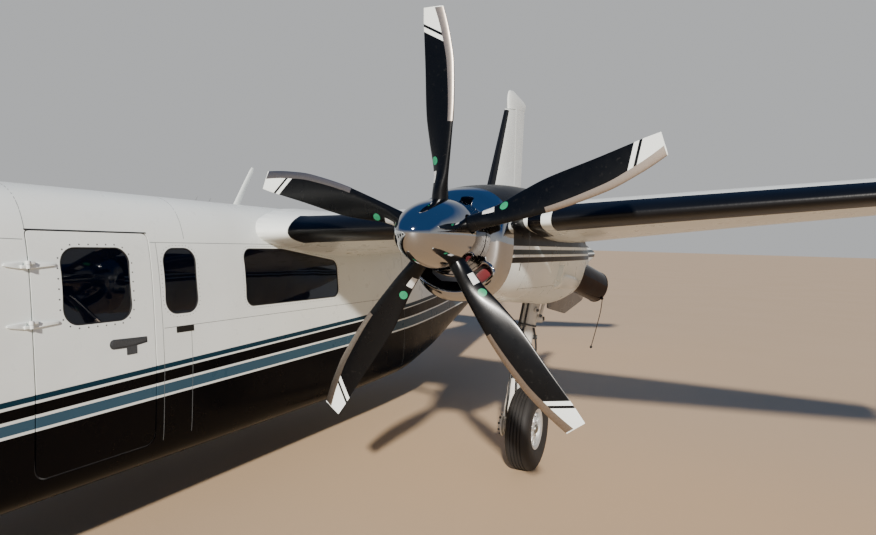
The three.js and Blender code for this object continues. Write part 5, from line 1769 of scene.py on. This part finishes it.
def tyre_profile(wheel, grooves):
    """A tyre's section: flat ribs and grooves across the tread, round shoulders, full sides."""
    full, half, rim = wheel["radius"], wheel["width"] / 2, wheel["rim"]
    tread, depth, wide = 0.55 * half, 0.008, 0.0045
    side = [(full, tread)]
    for t in np.linspace(0, 1, 9)[1:]:
        angle = t * math.pi / 2
        side.append((full - 0.055 * (1 - math.cos(angle)) - 0.004 * t,
                     tread + (half - tread) * math.sin(angle)))
    side += [(full * 0.74, half * 0.985), (rim + 0.045, half * 0.93), (rim + 0.022, half * 0.84),
             (rim + 0.006, half * 0.80), (rim, half * 0.76)]
    ribs = []
    for place in np.linspace(-0.75, 0.75, grooves) * tread:
        ribs += [(full, place - wide), (full - depth, place - wide * 0.7), (full - depth, place + wide * 0.7),
                 (full, place + wide)]
    return [(r, -a) for r, a in reversed(side)] + ribs + side


# Spokes of a main wheel: part of their length, half width, depth
SPOKE = ((0.0, 0.019, 0.034), (0.35, 0.013, 0.028), (0.75, 0.012, 0.024), (1.0, 0.020, 0.028))
SPOKE_COUNT, SPOKE_FOOT = 9, 0.055


def main_rim_part(side):
    """A cast wheel with open spokes on its outboard face and a plain inboard half."""
    rim, half = MAIN["rim"], MAIN["width"] / 2
    bead = [(rim - 0.001, -0.80), (rim + 0.012, -0.83), (rim + 0.012, -0.79), (rim - 0.001, -0.76),
            (rim - 0.001, 0.76), (rim + 0.012, 0.79), (rim + 0.012, 0.83), (rim - 0.001, 0.80),
            (rim - 0.016, 0.72), (rim - 0.018, 0.30), (rim - 0.018, -0.60), (rim - 0.014, -0.78)]
    hub = [(0.0305, -0.5), (0.062, -0.5), (0.066, -0.1), (0.060, 0.62), (0.048, 0.70), (0.0305, 0.70)]
    web = [(0.060, -0.12), (rim - 0.016, -0.12), (rim - 0.016, -0.02), (0.060, -0.02)]
    rings = []
    for t, thick, deep in SPOKE:
        x, z = side * half * (0.52 - 0.10 * t), SPOKE_FOOT + (rim - 0.020 - SPOKE_FOOT) * t
        rings.append([(x + deep * math.cos(a) / 2, thick * math.sin(a), z) for a in turns(14)])
    spokes = [moved(lofted(rings), Matrix.Rotation(2 * math.pi * k / SPOKE_COUNT, 4, "X"))
              for k in range(SPOKE_COUNT)]
    bead, hub, web = (lathed([(r, side * half * a) for r, a in profile], count)
                      for profile, count in ((bead, 96), (hub, 64), (web, 64)))
    return joined([bead, hub, *spokes, web])


def nose_rim_part():
    rim, half = NOSE["rim"], NOSE["width"] / 2
    profile = [(0.0165, -half * 0.85), (0.034, -half * 0.85), (0.038, -half * 0.45), (0.066, -half * 0.40),
               (0.074, -half * 0.72), (rim + 0.006, -half * 0.83), (rim + 0.006, -half * 0.79),
               (rim - 0.001, -half * 0.76)]
    return lathed(profile + [(r, -a) for r, a in reversed(profile)], 72)


def bolt_ring(radius, count, x, side, size=0.006, height=0.008, centre=(0, 0)):
    """Hexagon heads in a ring that faces along x."""
    parts = []
    for a in turns(count) + math.pi / count:
        y, z = centre[0] + radius * math.cos(a), centre[1] + radius * math.sin(a)
        parts.append(rod((x, y, z), (x + side * height, y, z), size, sides=6))
    return parts


def add_wheel(name, body, wheel, grooves, casting, fittings):
    """A tyre, its casting and its bolts, all about the tyre's middle."""
    low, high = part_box(f"tyre_{name}")
    centre = Matrix.Translation((low + high) / 2)
    add_piece(f"tyre_{name}_casing", lathed(tyre_profile(wheel, grooves), 128), "tyre_rubber", "tyre_rubber",
              body, [f"tyre_{name}"], sharp=45, at=centre)
    add_piece(f"wheel_{name}_casting", casting, "cast_silver", "wheel_alloy", body, [f"wheel_{name}"],
              sharp=35, at=centre)
    add_piece(f"wheel_{name}_bolts", joined(fittings), "plated_steel", "wheel_alloy", body, at=centre)


def add_wheels():
    for side_name, side in SIDES:
        face = side * MAIN["width"] / 2
        cap = lathed([(0, face * 0.88), (0.026, face * 0.86), (0.034, face * 0.80), (0.036, face * 0.66),
                      (0, face * 0.66)], 40)
        bolts = bolt_ring(0.100, 9, face * 0.46, side) + bolt_ring(0.050, 6, face * 0.66, side, 0.004)
        add_wheel(side_name, f"wheel_{side_name}", MAIN, 4, main_rim_part(side), bolts + [cap])
    face = NOSE["width"] / 2 * 0.42
    bolts = bolt_ring(0.052, 8, face, 1, 0.004) + bolt_ring(0.052, 8, -face, -1, 0.004)
    add_wheel("nose", "nose_wheel", NOSE, 3, nose_rim_part(), bolts)


# Landing gear legs

# The two ends of the left leg: x, station, height
LEG_TOP, LEG_FOOT = (2.335, 1.920, 1.6397), (2.160, 1.700, 0.325)


def leg_point(side, part):
    top, foot = Vector(LEG_TOP), Vector(LEG_FOOT)
    x, station, z = top.lerp(foot, part)
    return Vector((side * x, aft(station), z))


def turned_rod(side, rows):
    """A stepped round bar along the leg: part of its length, radius."""
    return bar(leg_point(side, 0), leg_point(side, 1), rows, 40)


def link_arm(start, end, wide_start, wide_end, thick):
    """A flat forged link that tapers from one eye to the other."""
    start, end = Vector(start), Vector(end)
    along = (end - start).normalized()
    side = Vector((1, 0, 0))
    side = (side - along * side.dot(along)).normalized()
    up = along.cross(side)
    corners = [[math.copysign(abs(part) ** 0.5, part) for part in (math.cos(a), math.sin(a))]
               for a in turns(20)]
    rings = []
    for t in (0.0, 0.06, 0.5, 0.94, 1.0):
        wide = wide_start + (wide_end - wide_start) * t
        deep = thick * (1.25 if t in (0.0, 1.0) else 0.8)
        rings.append([start.lerp(end, t) + side * (wide * a) + up * (deep * b) for a, b in corners])
    return lofted(rings)


# Stepped bars along a leg, as (part of its length, radius)
LEG_CYLINDER = [(0.0, 0.070), (0.03, 0.072), (0.04, 0.078), (0.07, 0.078), (0.08, 0.070), (0.58, 0.066),
                (0.59, 0.074), (0.63, 0.074), (0.64, 0.068), (0.655, 0.060)]
LEG_PISTON = [(0.62, 0.041), (0.90, 0.041)]
LEG_FORK = [(0.72, 0.044), (0.73, 0.052), (0.78, 0.054), (0.80, 0.049), (0.88, 0.047), (0.95, 0.040),
            (1.0, 0.036), (1.03, 0.032)]


def across_foot(side, foot, start, end, radius, sides=36):
    """A round bar from x to x on the wheel's axis."""
    return rod((side * start, foot.y, foot.z), (side * end, foot.y, foot.z), radius, sides=sides)


def add_main_legs():
    for side_name, side in SIDES:
        foot = leg_point(side, 1)
        knee = leg_point(side, 0.80) + Vector((0, 0.205, -0.02))
        upper_eye = leg_point(side, 0.61) + Vector((0, 0.062, 0))
        lower_eye = foot + Vector((0, 0.045, 0.02))
        pin = Vector((0.024, 0, 0))
        white = [turned_rod(side, LEG_CYLINDER), turned_rod(side, LEG_FORK),
                 across_foot(side, foot, 2.112, 2.205, 0.060), across_foot(side, foot, 2.205, 2.216, 0.050),
                 link_arm(upper_eye, knee, 0.040, 0.016, 0.012),
                 link_arm(knee, lower_eye, 0.016, 0.040, 0.012), rod(knee - pin, knee + pin, 0.012, sides=16)]
        add_piece(f"leg_{side_name}_casting", joined(white), "leg_enamel", "leg_paint",
                  replaces=[f"main_leg_{side_name}"], sharp=35)
        bright = [turned_rod(side, LEG_PISTON), across_foot(side, foot, 2.127, 2.410, 0.0295, 32)]
        add_piece(f"leg_{side_name}_piston", joined(bright), "hard_chrome", "leg_paint")
        add_brake(side_name, side, foot)
        add_leg_hoses(side_name, side)
        add_leg_fittings(side_name, side, foot)


def add_brake(side_name, side, foot):
    """The disc, its caliper ahead of the axle and the two pistons in that caliper."""
    x = side * 2.236
    disc = moved(lathed([(0.055, -0.004), (0.125, -0.004), (0.125, 0.004), (0.055, 0.004)], 72),
                 Matrix.Translation(Vector((x, foot.y, foot.z))))
    near, far = sorted((x - side * 0.034, x + side * 0.006))
    caliper = block((near, foot.y - 0.140, foot.z - 0.045), (far, foot.y - 0.045, foot.z + 0.055), 0.008)
    pistons = [rod(*[(x - side * depth, foot.y - 0.095, foot.z + lift) for depth in (0.028, 0.048)],
                   0.019, 0.016, 20) for lift in (-0.022, 0.030)]
    add_piece(f"brake_{side_name}", joined([disc, caliper] + pistons), "plated_steel", "leg_paint")


# The level way from a leg towards its tyre: x on the left side, then y
LEG_OUT = (0.9077, 0.4195)


def beside_leg(side, part, out, ahead):
    """A point beside the leg: out towards the tyre's side of the leg, ahead towards its front."""
    return leg_point(side, part) + Vector((side * (LEG_OUT[0] * out + LEG_OUT[1] * ahead),
                                           LEG_OUT[1] * out - LEG_OUT[0] * ahead, 0))


# Hoses by the leg, each through (part of the leg, out, ahead), and the parts of the leg that have a clamp
LEG_HOSES = [[(0.02, -0.071, 0.035), (0.25, -0.073, 0.036), (0.50, -0.068, 0.038), (0.66, -0.060, 0.070),
              (0.80, -0.050, 0.120), (0.92, -0.030, 0.090), (0.97, 0.030, 0.075)],
             [(0.02, -0.035, 0.071), (0.25, -0.037, 0.073), (0.50, -0.033, 0.072), (0.66, -0.020, 0.100),
              (0.80, 0.010, 0.115), (0.92, 0.030, 0.090), (0.97, 0.060, 0.060)],
             [(0.40, 0.050, 0.055), (0.47, 0.085, 0.040), (0.54, 0.108, 0.030), (0.60, 0.102, 0.035),
              (0.66, 0.060, 0.050), (0.72, 0.035, 0.055)]]
LEG_CLAMPS = (0.13, 0.385, 0.50)


def add_leg_hoses(side_name, side):
    """Hydraulic hoses clamped to the leg and looped past the torque links to the brake."""
    hoses = [tube_along(smooth_path([beside_leg(side, *place) for place in route]), 0.0085, 12)
             for route in LEG_HOSES]
    add_piece(f"leg_{side_name}_hoses", joined(hoses), "hose_rubber", "leg_paint")
    clamps = []
    for part in LEG_CLAMPS:
        clamps.append(turned_rod(side, [(part - 0.005, 0.0745), (part + 0.005, 0.0745)]))
        clamps += [rod(beside_leg(side, part, out, ahead * 0.85), beside_leg(side, part, out, ahead + 0.016),
                       0.013, sides=12) for out, ahead in ((-0.036, 0.072), (-0.071, 0.035))]
    add_piece(f"leg_{side_name}_clamps", joined(clamps), "dark_steel", "leg_paint")


# Lugs by the leg: the two ends as (part of the leg, out, ahead), the two radii, sides
PALE_LUGS = [((0.345, 0, 0), (0.345, 0.112, 0.010), 0.036, 0.031, 28),
             ((0.325, 0.088, 0.020), (0.12, 0.108, 0.020), 0.013, 0.013, 16),
             ((0.29, 0.035, 0.050), (0.29, 0.045, 0.078), 0.026, 0.023, 24)]
DARK_LUGS = [((0.345, 0.110, 0.010), (0.345, 0.128, 0.011), 0.018, 0.018, 6),
             ((0.325, 0.088, 0.000), (0.325, 0.088, 0.044), 0.012, 0.012, 12),
             ((0.29, 0.045, 0.076), (0.29, 0.049, 0.088), 0.012, 0.012, 6),
             ((0.46, 0, 0), (0.46, 0.100, 0.010), 0.022, 0.018, 20),
             ((0.42, -0.04, 0.05), (0.42, -0.075, 0.085), 0.014, 0.010, 16)]


def add_leg_fittings(side_name, side, foot):
    """Side brace with its pick-up boss, small lugs and bolts, and the bolted brake flange."""
    pale, dark = ([rod(beside_leg(side, *start), beside_leg(side, *end), *rest) for start, end, *rest in lugs]
                  for lugs in (PALE_LUGS, DARK_LUGS))
    pale += [across_foot(side, foot, start, start + 0.014, radius, 48)
             for start, radius in ((2.136, 0.092), (2.150, 0.070))]
    dark += bolt_ring(0.079, 10, side * 2.116, side, 0.0095, 0.022, (foot.y, foot.z))
    add_piece(f"leg_{side_name}_brace", joined(pale), "leg_enamel", "leg_paint", sharp=35)
    add_piece(f"leg_{side_name}_bolts", joined(dark), "dark_steel", "leg_paint", sharp=35)


# A main gear door: its distance outboard of the engine, its thickness, and its corners as
# (station, height, corner radius)
GEAR_DOOR_X, GEAR_DOOR_SKIN = 0.120, 0.014
GEAR_DOOR = [(1.88, 1.64, 0.01), (1.88, 1.275, 0.02), (2.45, 1.184, 0.3), (3.15, 1.257, 0.1),
             (3.30, 1.40, 0.05), (3.30, 1.64, 0.01)]


def add_gear_doors():
    outline = filleted(GEAR_DOOR, 6)
    middle = outline.mean(axis=0)
    for side_name, side in SIDES:
        x = side * (ENGINE_X + GEAR_DOOR_X)
        rings = [[(x + part * GEAR_DOOR_SKIN, aft(s), z) for s, z in middle + (outline - middle) * size]
                 for part, size in ((-0.5, 1.0), (0.35, 1.0), (0.5, 0.988))]
        door = new_object(f"gear_door_{side_name}_panel", lofted(rings))
        carve(door, [lofted(body_rings(NACELLE, spread(1.5, 3.6, 0.06), NACELLE_POINTS, 0.004,
                                       side * ENGINE_X))])
        carve(door, [lofted(exhaust_rings(side, 0.001))])
        # The wheel doors' dark grey is partly painted shade, for the shadow that they stand in
        dress(door, "grey_paint", "grey_paint", replaces=[f"gear_door_{side_name}"], sharp=30)


# Nose gear

# A nose gear door: corners as (station, height, corner radius), then the x of its two faces
NOSE_DOOR = [(-4.04, 0.76, 0.01), (-4.04, 0.455, 0.05), (-3.96, 0.43, 0.03), (-3.56, 0.43, 0.03),
             (-3.48, 0.455, 0.05), (-3.48, 0.76, 0.01)]
NOSE_DOOR_X = (0.1632, 0.1728)
STEER_STATION = -3.80
# The nose leg's stepped cylinder: its heights, then its radii
NOSE_STRUT = [(0.525, 0.545, 0.050, 0.056), (0.545, 0.8997, 0.055, 0.060), (0.60, 0.63, 0.064, 0.064)]


def add_nose_gear():
    steer = aft(STEER_STATION)
    low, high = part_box("tyre_nose")
    _, wheel_y, wheel_z = (low + high) / 2
    strut = [rod((0, steer, start), (0, steer, end), *radii, 40) for start, end, *radii in NOSE_STRUT]
    add_piece("nose_leg_cylinder", joined(strut), "leg_enamel", "leg_paint", replaces=["nose_leg"])
    crown = block((-0.110, steer - 0.045, 0.470), (0.110, steer + 0.058, 0.505), 0.010)
    arms = [link_arm((x, steer + 0.012, 0.492), (x, wheel_y, wheel_z), 0.013, 0.015, 0.030)
            for x in (0.097, -0.097)]
    add_piece("nose_fork_casting", joined([crown] + arms), "leg_enamel", "leg_paint", "nose_fork",
              ["nose_fork"], sharp=35)
    axle = [rod((start, wheel_y, wheel_z), (end, wheel_y, wheel_z), radius, sides=sides)
            for start, end, radius, sides in ((-0.112, 0.112, 0.0155, 28), (0.103, 0.111, 0.022, 6),
                                              (-0.103, -0.111, 0.022, 6))]
    add_piece("nose_axle", joined(axle), "plated_steel", "leg_paint", "nose_fork")
    add_piece("nose_piston", rod((0, steer, 0.50), (0, steer, 0.70), 0.0295, sides=36), "hard_chrome",
              "leg_paint", "nose_fork")
    for side_name, side in SIDES:
        panel = [[(side * x, aft(s), z) for s, z in filleted(NOSE_DOOR, 5)] for x in NOSE_DOOR_X]
        door = new_object(f"nose_door_{side_name}_panel", lofted(panel))
        carve(door, [lofted(fuselage_rings(-4.45, -3.2, 0.08, 0.004))])
        dress(door, "striped_paint", replaces=[f"nose_door_{side_name}"], sharp=30)


# Cabin

# Seats: node, then (station, x) of each place in it
SEATS = [("seat_pilot", [(-2.25, 0.30)]), ("seat_copilot", [(-2.25, -0.30)]),
         ("seats_middle", [(-0.30, -0.33), (-0.30, 0.33)]), ("seats_rear", [(0.95, -0.33), (0.95, 0.33)])]
FLOOR_TOP = 0.600


# A seat's pads about its place and the floor: half width, front, back, bottom, top, lean
PADS = {"base": (0.215, 0.01, 0.44, 0.305, 0.405, 0.0), "back": (0.210, 0.405, 0.495, 0.36, 0.90, -0.2)}


def cushion(name, x, front, part):
    """A crowned pad: a block drawn in between its corners and rounded by subdivision."""
    half, near, far, bottom, top, lean = PADS[part]
    low, high = (x - half, front + near, FLOOR_TOP + bottom), (x + half, front + far, FLOOR_TOP + top)
    made = bmesh.new()
    bmesh.ops.create_cube(made, size=1.0)
    bmesh.ops.subdivide_edges(made, edges=made.edges[:], cuts=5, use_grid_fill=True)
    size = Vector(high) - Vector(low)
    for vertex in made.verts:
        c = vertex.co * 2
        crown = 1 - 0.16 * (c.x**4 + c.y**4) * abs(c.z) - 0.06 * abs(c.x * c.y)
        vertex.co = Vector((c.x * size.x / 2, c.y * size.y / 2, c.z * size.z / 2 * crown))
    bmesh.ops.translate(made, vec=(Vector(low) + Vector(high)) / 2, verts=made.verts)
    bmesh.ops.rotate(made, cent=(x, front + 0.45, FLOOR_TOP + 0.36), matrix=Matrix.Rotation(lean, 3, "X"),
                     verts=made.verts)
    mesh = bpy.data.meshes.new(name)
    made.to_mesh(mesh)
    made.free()
    pad = bpy.data.objects.new(name, mesh)
    bpy.context.scene.collection.objects.link(pad)
    round_off = pad.modifiers.new("round", "SUBSURF")
    round_off.levels = round_off.render_levels = 1
    return pad


def add_cabin():
    lining = frame["nodes"]["cabin_interior"]
    lining.data.materials.clear()
    lining.data.materials.append(finish_named("cabin_vinyl"))
    for name, places in SEATS:
        bases = []
        for n, (station, x) in enumerate(places):
            front = aft(station)
            for part in PADS:
                pad = cushion(f"{name}_{part}_{n}", x, front, part)
                dress(pad, "seat_hide", "seat_leather", replaces=[name], sharp=None)
                for polygon in pad.data.polygons:
                    polygon.use_smooth = True
            bases.append(block((x - 0.19, front + 0.13, FLOOR_TOP),
                               (x + 0.19, front + 0.45, FLOOR_TOP + 0.30), 0.01))
        add_piece(f"{name}_bases", joined(bases), "cabin_vinyl", "cabin_lining")


# Lamps


def add_lamps():
    for side_name, side in SIDES:
        made = bmesh.new()
        bmesh.ops.create_uvsphere(made, u_segments=24, v_segments=14, radius=1.0)
        bmesh.ops.scale(made, vec=(0.028, 0.055, 0.020), verts=made.verts)
        bmesh.ops.translate(made, vec=(side * 7.07, aft(0.62), 2.285), verts=made.verts)
        add_piece(f"tip_lamp_{side_name}", part_of(made), "red_lens" if side > 0 else "green_lens",
                  "tinted_glass")


# The studio

# The photograph's camera, in metres, radians and pixels
CAMERA = {"place": (3.8254, -5.4437, 1.7751), "yaw": 0.4329, "pitch": -0.0365, "roll": 0.0269,
          "focal_px": 652.487}
IMAGE_WIDTH = 876
SENSOR = 36.0
FLOOR_REACH = 450
# The key light comes from ahead and from the left, as the sun does in the photograph
KEY_WAY, KEY_POWER, KEY_ANGLE = (0.77, -1.93, 1.0), 7.4, math.radians(2.5)
# Behind the aircraft the dome is pale up to this height (the sine of its angle); it is blue above and ahead
PALE_RISE = 0.37


def add_camera():
    yaw, pitch, roll = CAMERA["yaw"], CAMERA["pitch"], CAMERA["roll"]
    ahead = Vector((-math.sin(yaw) * math.cos(pitch), math.cos(yaw) * math.cos(pitch), math.sin(pitch)))
    right = ahead.cross(Vector((0, 0, 1))).normalized()
    up = right.cross(ahead)
    across = right * math.cos(roll) + up * math.sin(roll)
    upright = up * math.cos(roll) - right * math.sin(roll)
    data = bpy.data.cameras.new("photo_camera")
    data.sensor_width = SENSOR
    data.lens = CAMERA["focal_px"] / IMAGE_WIDTH * SENSOR
    data.clip_end = 2 * FLOOR_REACH
    camera = bpy.data.objects.new("photo_camera", data)
    axes = Matrix((across, upright, -ahead)).transposed().to_4x4()
    camera.matrix_world = Matrix.Translation(Vector(CAMERA["place"])) @ axes
    bpy.context.scene.collection.objects.link(camera)
    bpy.context.scene.camera = camera


def key_light():
    """One broad soft light from the photograph's side, even over the whole floor."""
    data = bpy.data.lights.new("key", "SUN")
    data.energy = KEY_POWER
    data.angle = KEY_ANGLE
    data.color = linear("#fff8ee")
    light = bpy.data.objects.new("key", data)
    light.rotation_euler = Vector(KEY_WAY).to_track_quat("Z", "Y").to_euler()
    bpy.context.scene.collection.objects.link(light)


def add_studio():
    add_camera()
    corners = [(FLOOR_REACH * a, FLOOR_REACH * b) for a, b in ((-1, -1), (1, -1), (1, 1), (-1, 1))]
    floor = new_object("studio_floor", lofted([[(x, y, z) for x, y in corners] for z in (-0.2, 0.0)]))
    floor.data.materials.append(finish_named("studio_floor"))
    key_light()
    world, tree = new_tree(bpy.data.worlds, "studio_dome")
    _, behind, up = add(tree, "SeparateXYZ", (add(tree, "TexCoord", out="Generated"),), None)
    pale = add(tree, "MapRange", {"Value": behind, "From Min": -0.1, "From Max": 0.4, "To Min": 0.02,
                                  "To Max": PALE_RISE})
    over = add(tree, "Math", (up, pale), operation="SUBTRACT")
    blue = add(tree, "MapRange", {"Value": over, "From Min": 0.0, "From Max": 0.25})
    sky = add(tree, "Mix", {MIX_FACTOR: blue, MIX_A: rgba("#eceef0"), MIX_B: rgba("#3b70b4")}, MIX_RESULT,
              data_type="RGBA")
    add(tree, "OutputWorld", (add(tree, "Background", {"Color": sky, "Strength": 0.60}),), None)
    bpy.context.scene.world = world


# Operators, one for each group of like pieces

class AIRCRAFT_OT_stage(bpy.types.Operator):
    """Camera at the photograph's viewpoint, pale floor, soft light and sky"""

    bl_idname = "aircraft.stage"
    bl_label = "Studio"

    def execute(self, context):
        add_studio()
        return {"FINISHED"}


class AIRCRAFT_OT_fuselage(bpy.types.Operator):
    """Nose, cabin and tail skins"""

    bl_idname = "aircraft.fuselage"
    bl_label = "Fuselage"

    def execute(self, context):
        add_fuselage()
        return {"FINISHED"}


class AIRCRAFT_OT_cabin_door(bpy.types.Operator):
    """Left cabin door with its seal, hinges, handle and plate"""

    bl_idname = "aircraft.cabin_door"
    bl_label = "Cabin door"

    def execute(self, context):
        add_door()
        add_hinges()
        add_door_fittings()
        return {"FINISHED"}


class AIRCRAFT_OT_windows(bpy.types.Operator):
    """Cabin windows and windscreens with their seals"""

    bl_idname = "aircraft.windows"
    bl_label = "Windows"

    def execute(self, context):
        add_windows()
        return {"FINISHED"}


class AIRCRAFT_OT_skin_details(bpy.types.Operator):
    """Seams, rivets, window screws, aerials and lamps"""

    bl_idname = "aircraft.skin_details"
    bl_label = "Seams and fittings"

    def execute(self, context):
        add_seams()
        add_window_screws()
        add_roof_fittings()
        add_lamps()
        return {"FINISHED"}


class AIRCRAFT_OT_cabin(bpy.types.Operator):
    """Cabin lining and seats"""

    bl_idname = "aircraft.cabin"
    bl_label = "Cabin"

    def execute(self, context):
        add_cabin()
        return {"FINISHED"}


class AIRCRAFT_OT_wings(bpy.types.Operator):
    """Wings, flaps, ailerons and leading edge boots"""

    bl_idname = "aircraft.wings"
    bl_label = "Wings"

    def execute(self, context):
        add_wings()
        return {"FINISHED"}


class AIRCRAFT_OT_tail(bpy.types.Operator):
    """Fin, rudder, tailplanes and elevators"""

    bl_idname = "aircraft.tail"
    bl_label = "Tail"

    def execute(self, context):
        add_fin_and_rudder()
        add_tailplanes()
        return {"FINISHED"}


class AIRCRAFT_OT_nacelles(bpy.types.Operator):
    """Engine nacelles, intake rings and exhaust ducts"""

    bl_idname = "aircraft.nacelles"
    bl_label = "Nacelles"

    def execute(self, context):
        add_nacelles()
        return {"FINISHED"}


class AIRCRAFT_OT_propellers(bpy.types.Operator):
    """Five-bladed propellers with polished spinners"""

    bl_idname = "aircraft.propellers"
    bl_label = "Propellers"

    def execute(self, context):
        add_propellers()
        return {"FINISHED"}


class AIRCRAFT_OT_wheels(bpy.types.Operator):
    """Tyres and cast wheels"""

    bl_idname = "aircraft.wheels"
    bl_label = "Wheels"

    def execute(self, context):
        add_wheels()
        return {"FINISHED"}


class AIRCRAFT_OT_main_gear(bpy.types.Operator):
    """Main legs with brakes and hoses, and their doors"""

    bl_idname = "aircraft.main_gear"
    bl_label = "Main landing gear"

    def execute(self, context):
        add_main_legs()
        add_gear_doors()
        return {"FINISHED"}


class AIRCRAFT_OT_nose_gear(bpy.types.Operator):
    """Nose leg with its fork, axle and doors"""

    bl_idname = "aircraft.nose_gear"
    bl_label = "Nose landing gear"

    def execute(self, context):
        add_nose_gear()
        return {"FINISHED"}


class AIRCRAFT_PT_build(bpy.types.Panel):
    """Lists the operators and the sizes and colours that they use"""

    bl_idname = "AIRCRAFT_PT_build"
    bl_label = "Twin turboprop aircraft"
    bl_space_type = "VIEW_3D"
    bl_region_type = "UI"
    bl_category = "Aircraft"

    def draw(self, context):
        layout = self.layout
        for settings in (context.scene.aircraft_colours, context.scene.aircraft_sizes):
            box = layout.box()
            for key in settings.__annotations__:
                box.prop(settings, key)
        for made in OPERATORS:
            layout.operator(made.bl_idname)


OPERATORS = (AIRCRAFT_OT_stage, AIRCRAFT_OT_fuselage, AIRCRAFT_OT_cabin_door, AIRCRAFT_OT_windows,
             AIRCRAFT_OT_skin_details, AIRCRAFT_OT_cabin, AIRCRAFT_OT_wings, AIRCRAFT_OT_tail,
             AIRCRAFT_OT_nacelles, AIRCRAFT_OT_propellers, AIRCRAFT_OT_wheels, AIRCRAFT_OT_main_gear,
             AIRCRAFT_OT_nose_gear)
CLASSES = (AircraftColours, AircraftSizes, *OPERATORS, AIRCRAFT_PT_build)


def register():
    for made in CLASSES:
        bpy.utils.register_class(made)
    bpy.types.Scene.aircraft_colours = PointerProperty(type=AircraftColours)
    bpy.types.Scene.aircraft_sizes = PointerProperty(type=AircraftSizes)


def unregister():
    del bpy.types.Scene.aircraft_colours
    del bpy.types.Scene.aircraft_sizes
    for made in reversed(CLASSES):
        bpy.utils.unregister_class(made)


def main():
    register()
    bpy.ops.aircraft.stage()
    bpy.ops.aircraft.fuselage()
    bpy.ops.aircraft.cabin_door()
    bpy.ops.aircraft.windows()
    bpy.ops.aircraft.skin_details()
    bpy.ops.aircraft.cabin()
    bpy.ops.aircraft.wings()
    bpy.ops.aircraft.tail()
    bpy.ops.aircraft.nacelles()
    bpy.ops.aircraft.propellers()
    bpy.ops.aircraft.wheels()
    bpy.ops.aircraft.main_gear()
    bpy.ops.aircraft.nose_gear()
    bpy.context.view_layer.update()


if __name__ == "__main__":
    main()
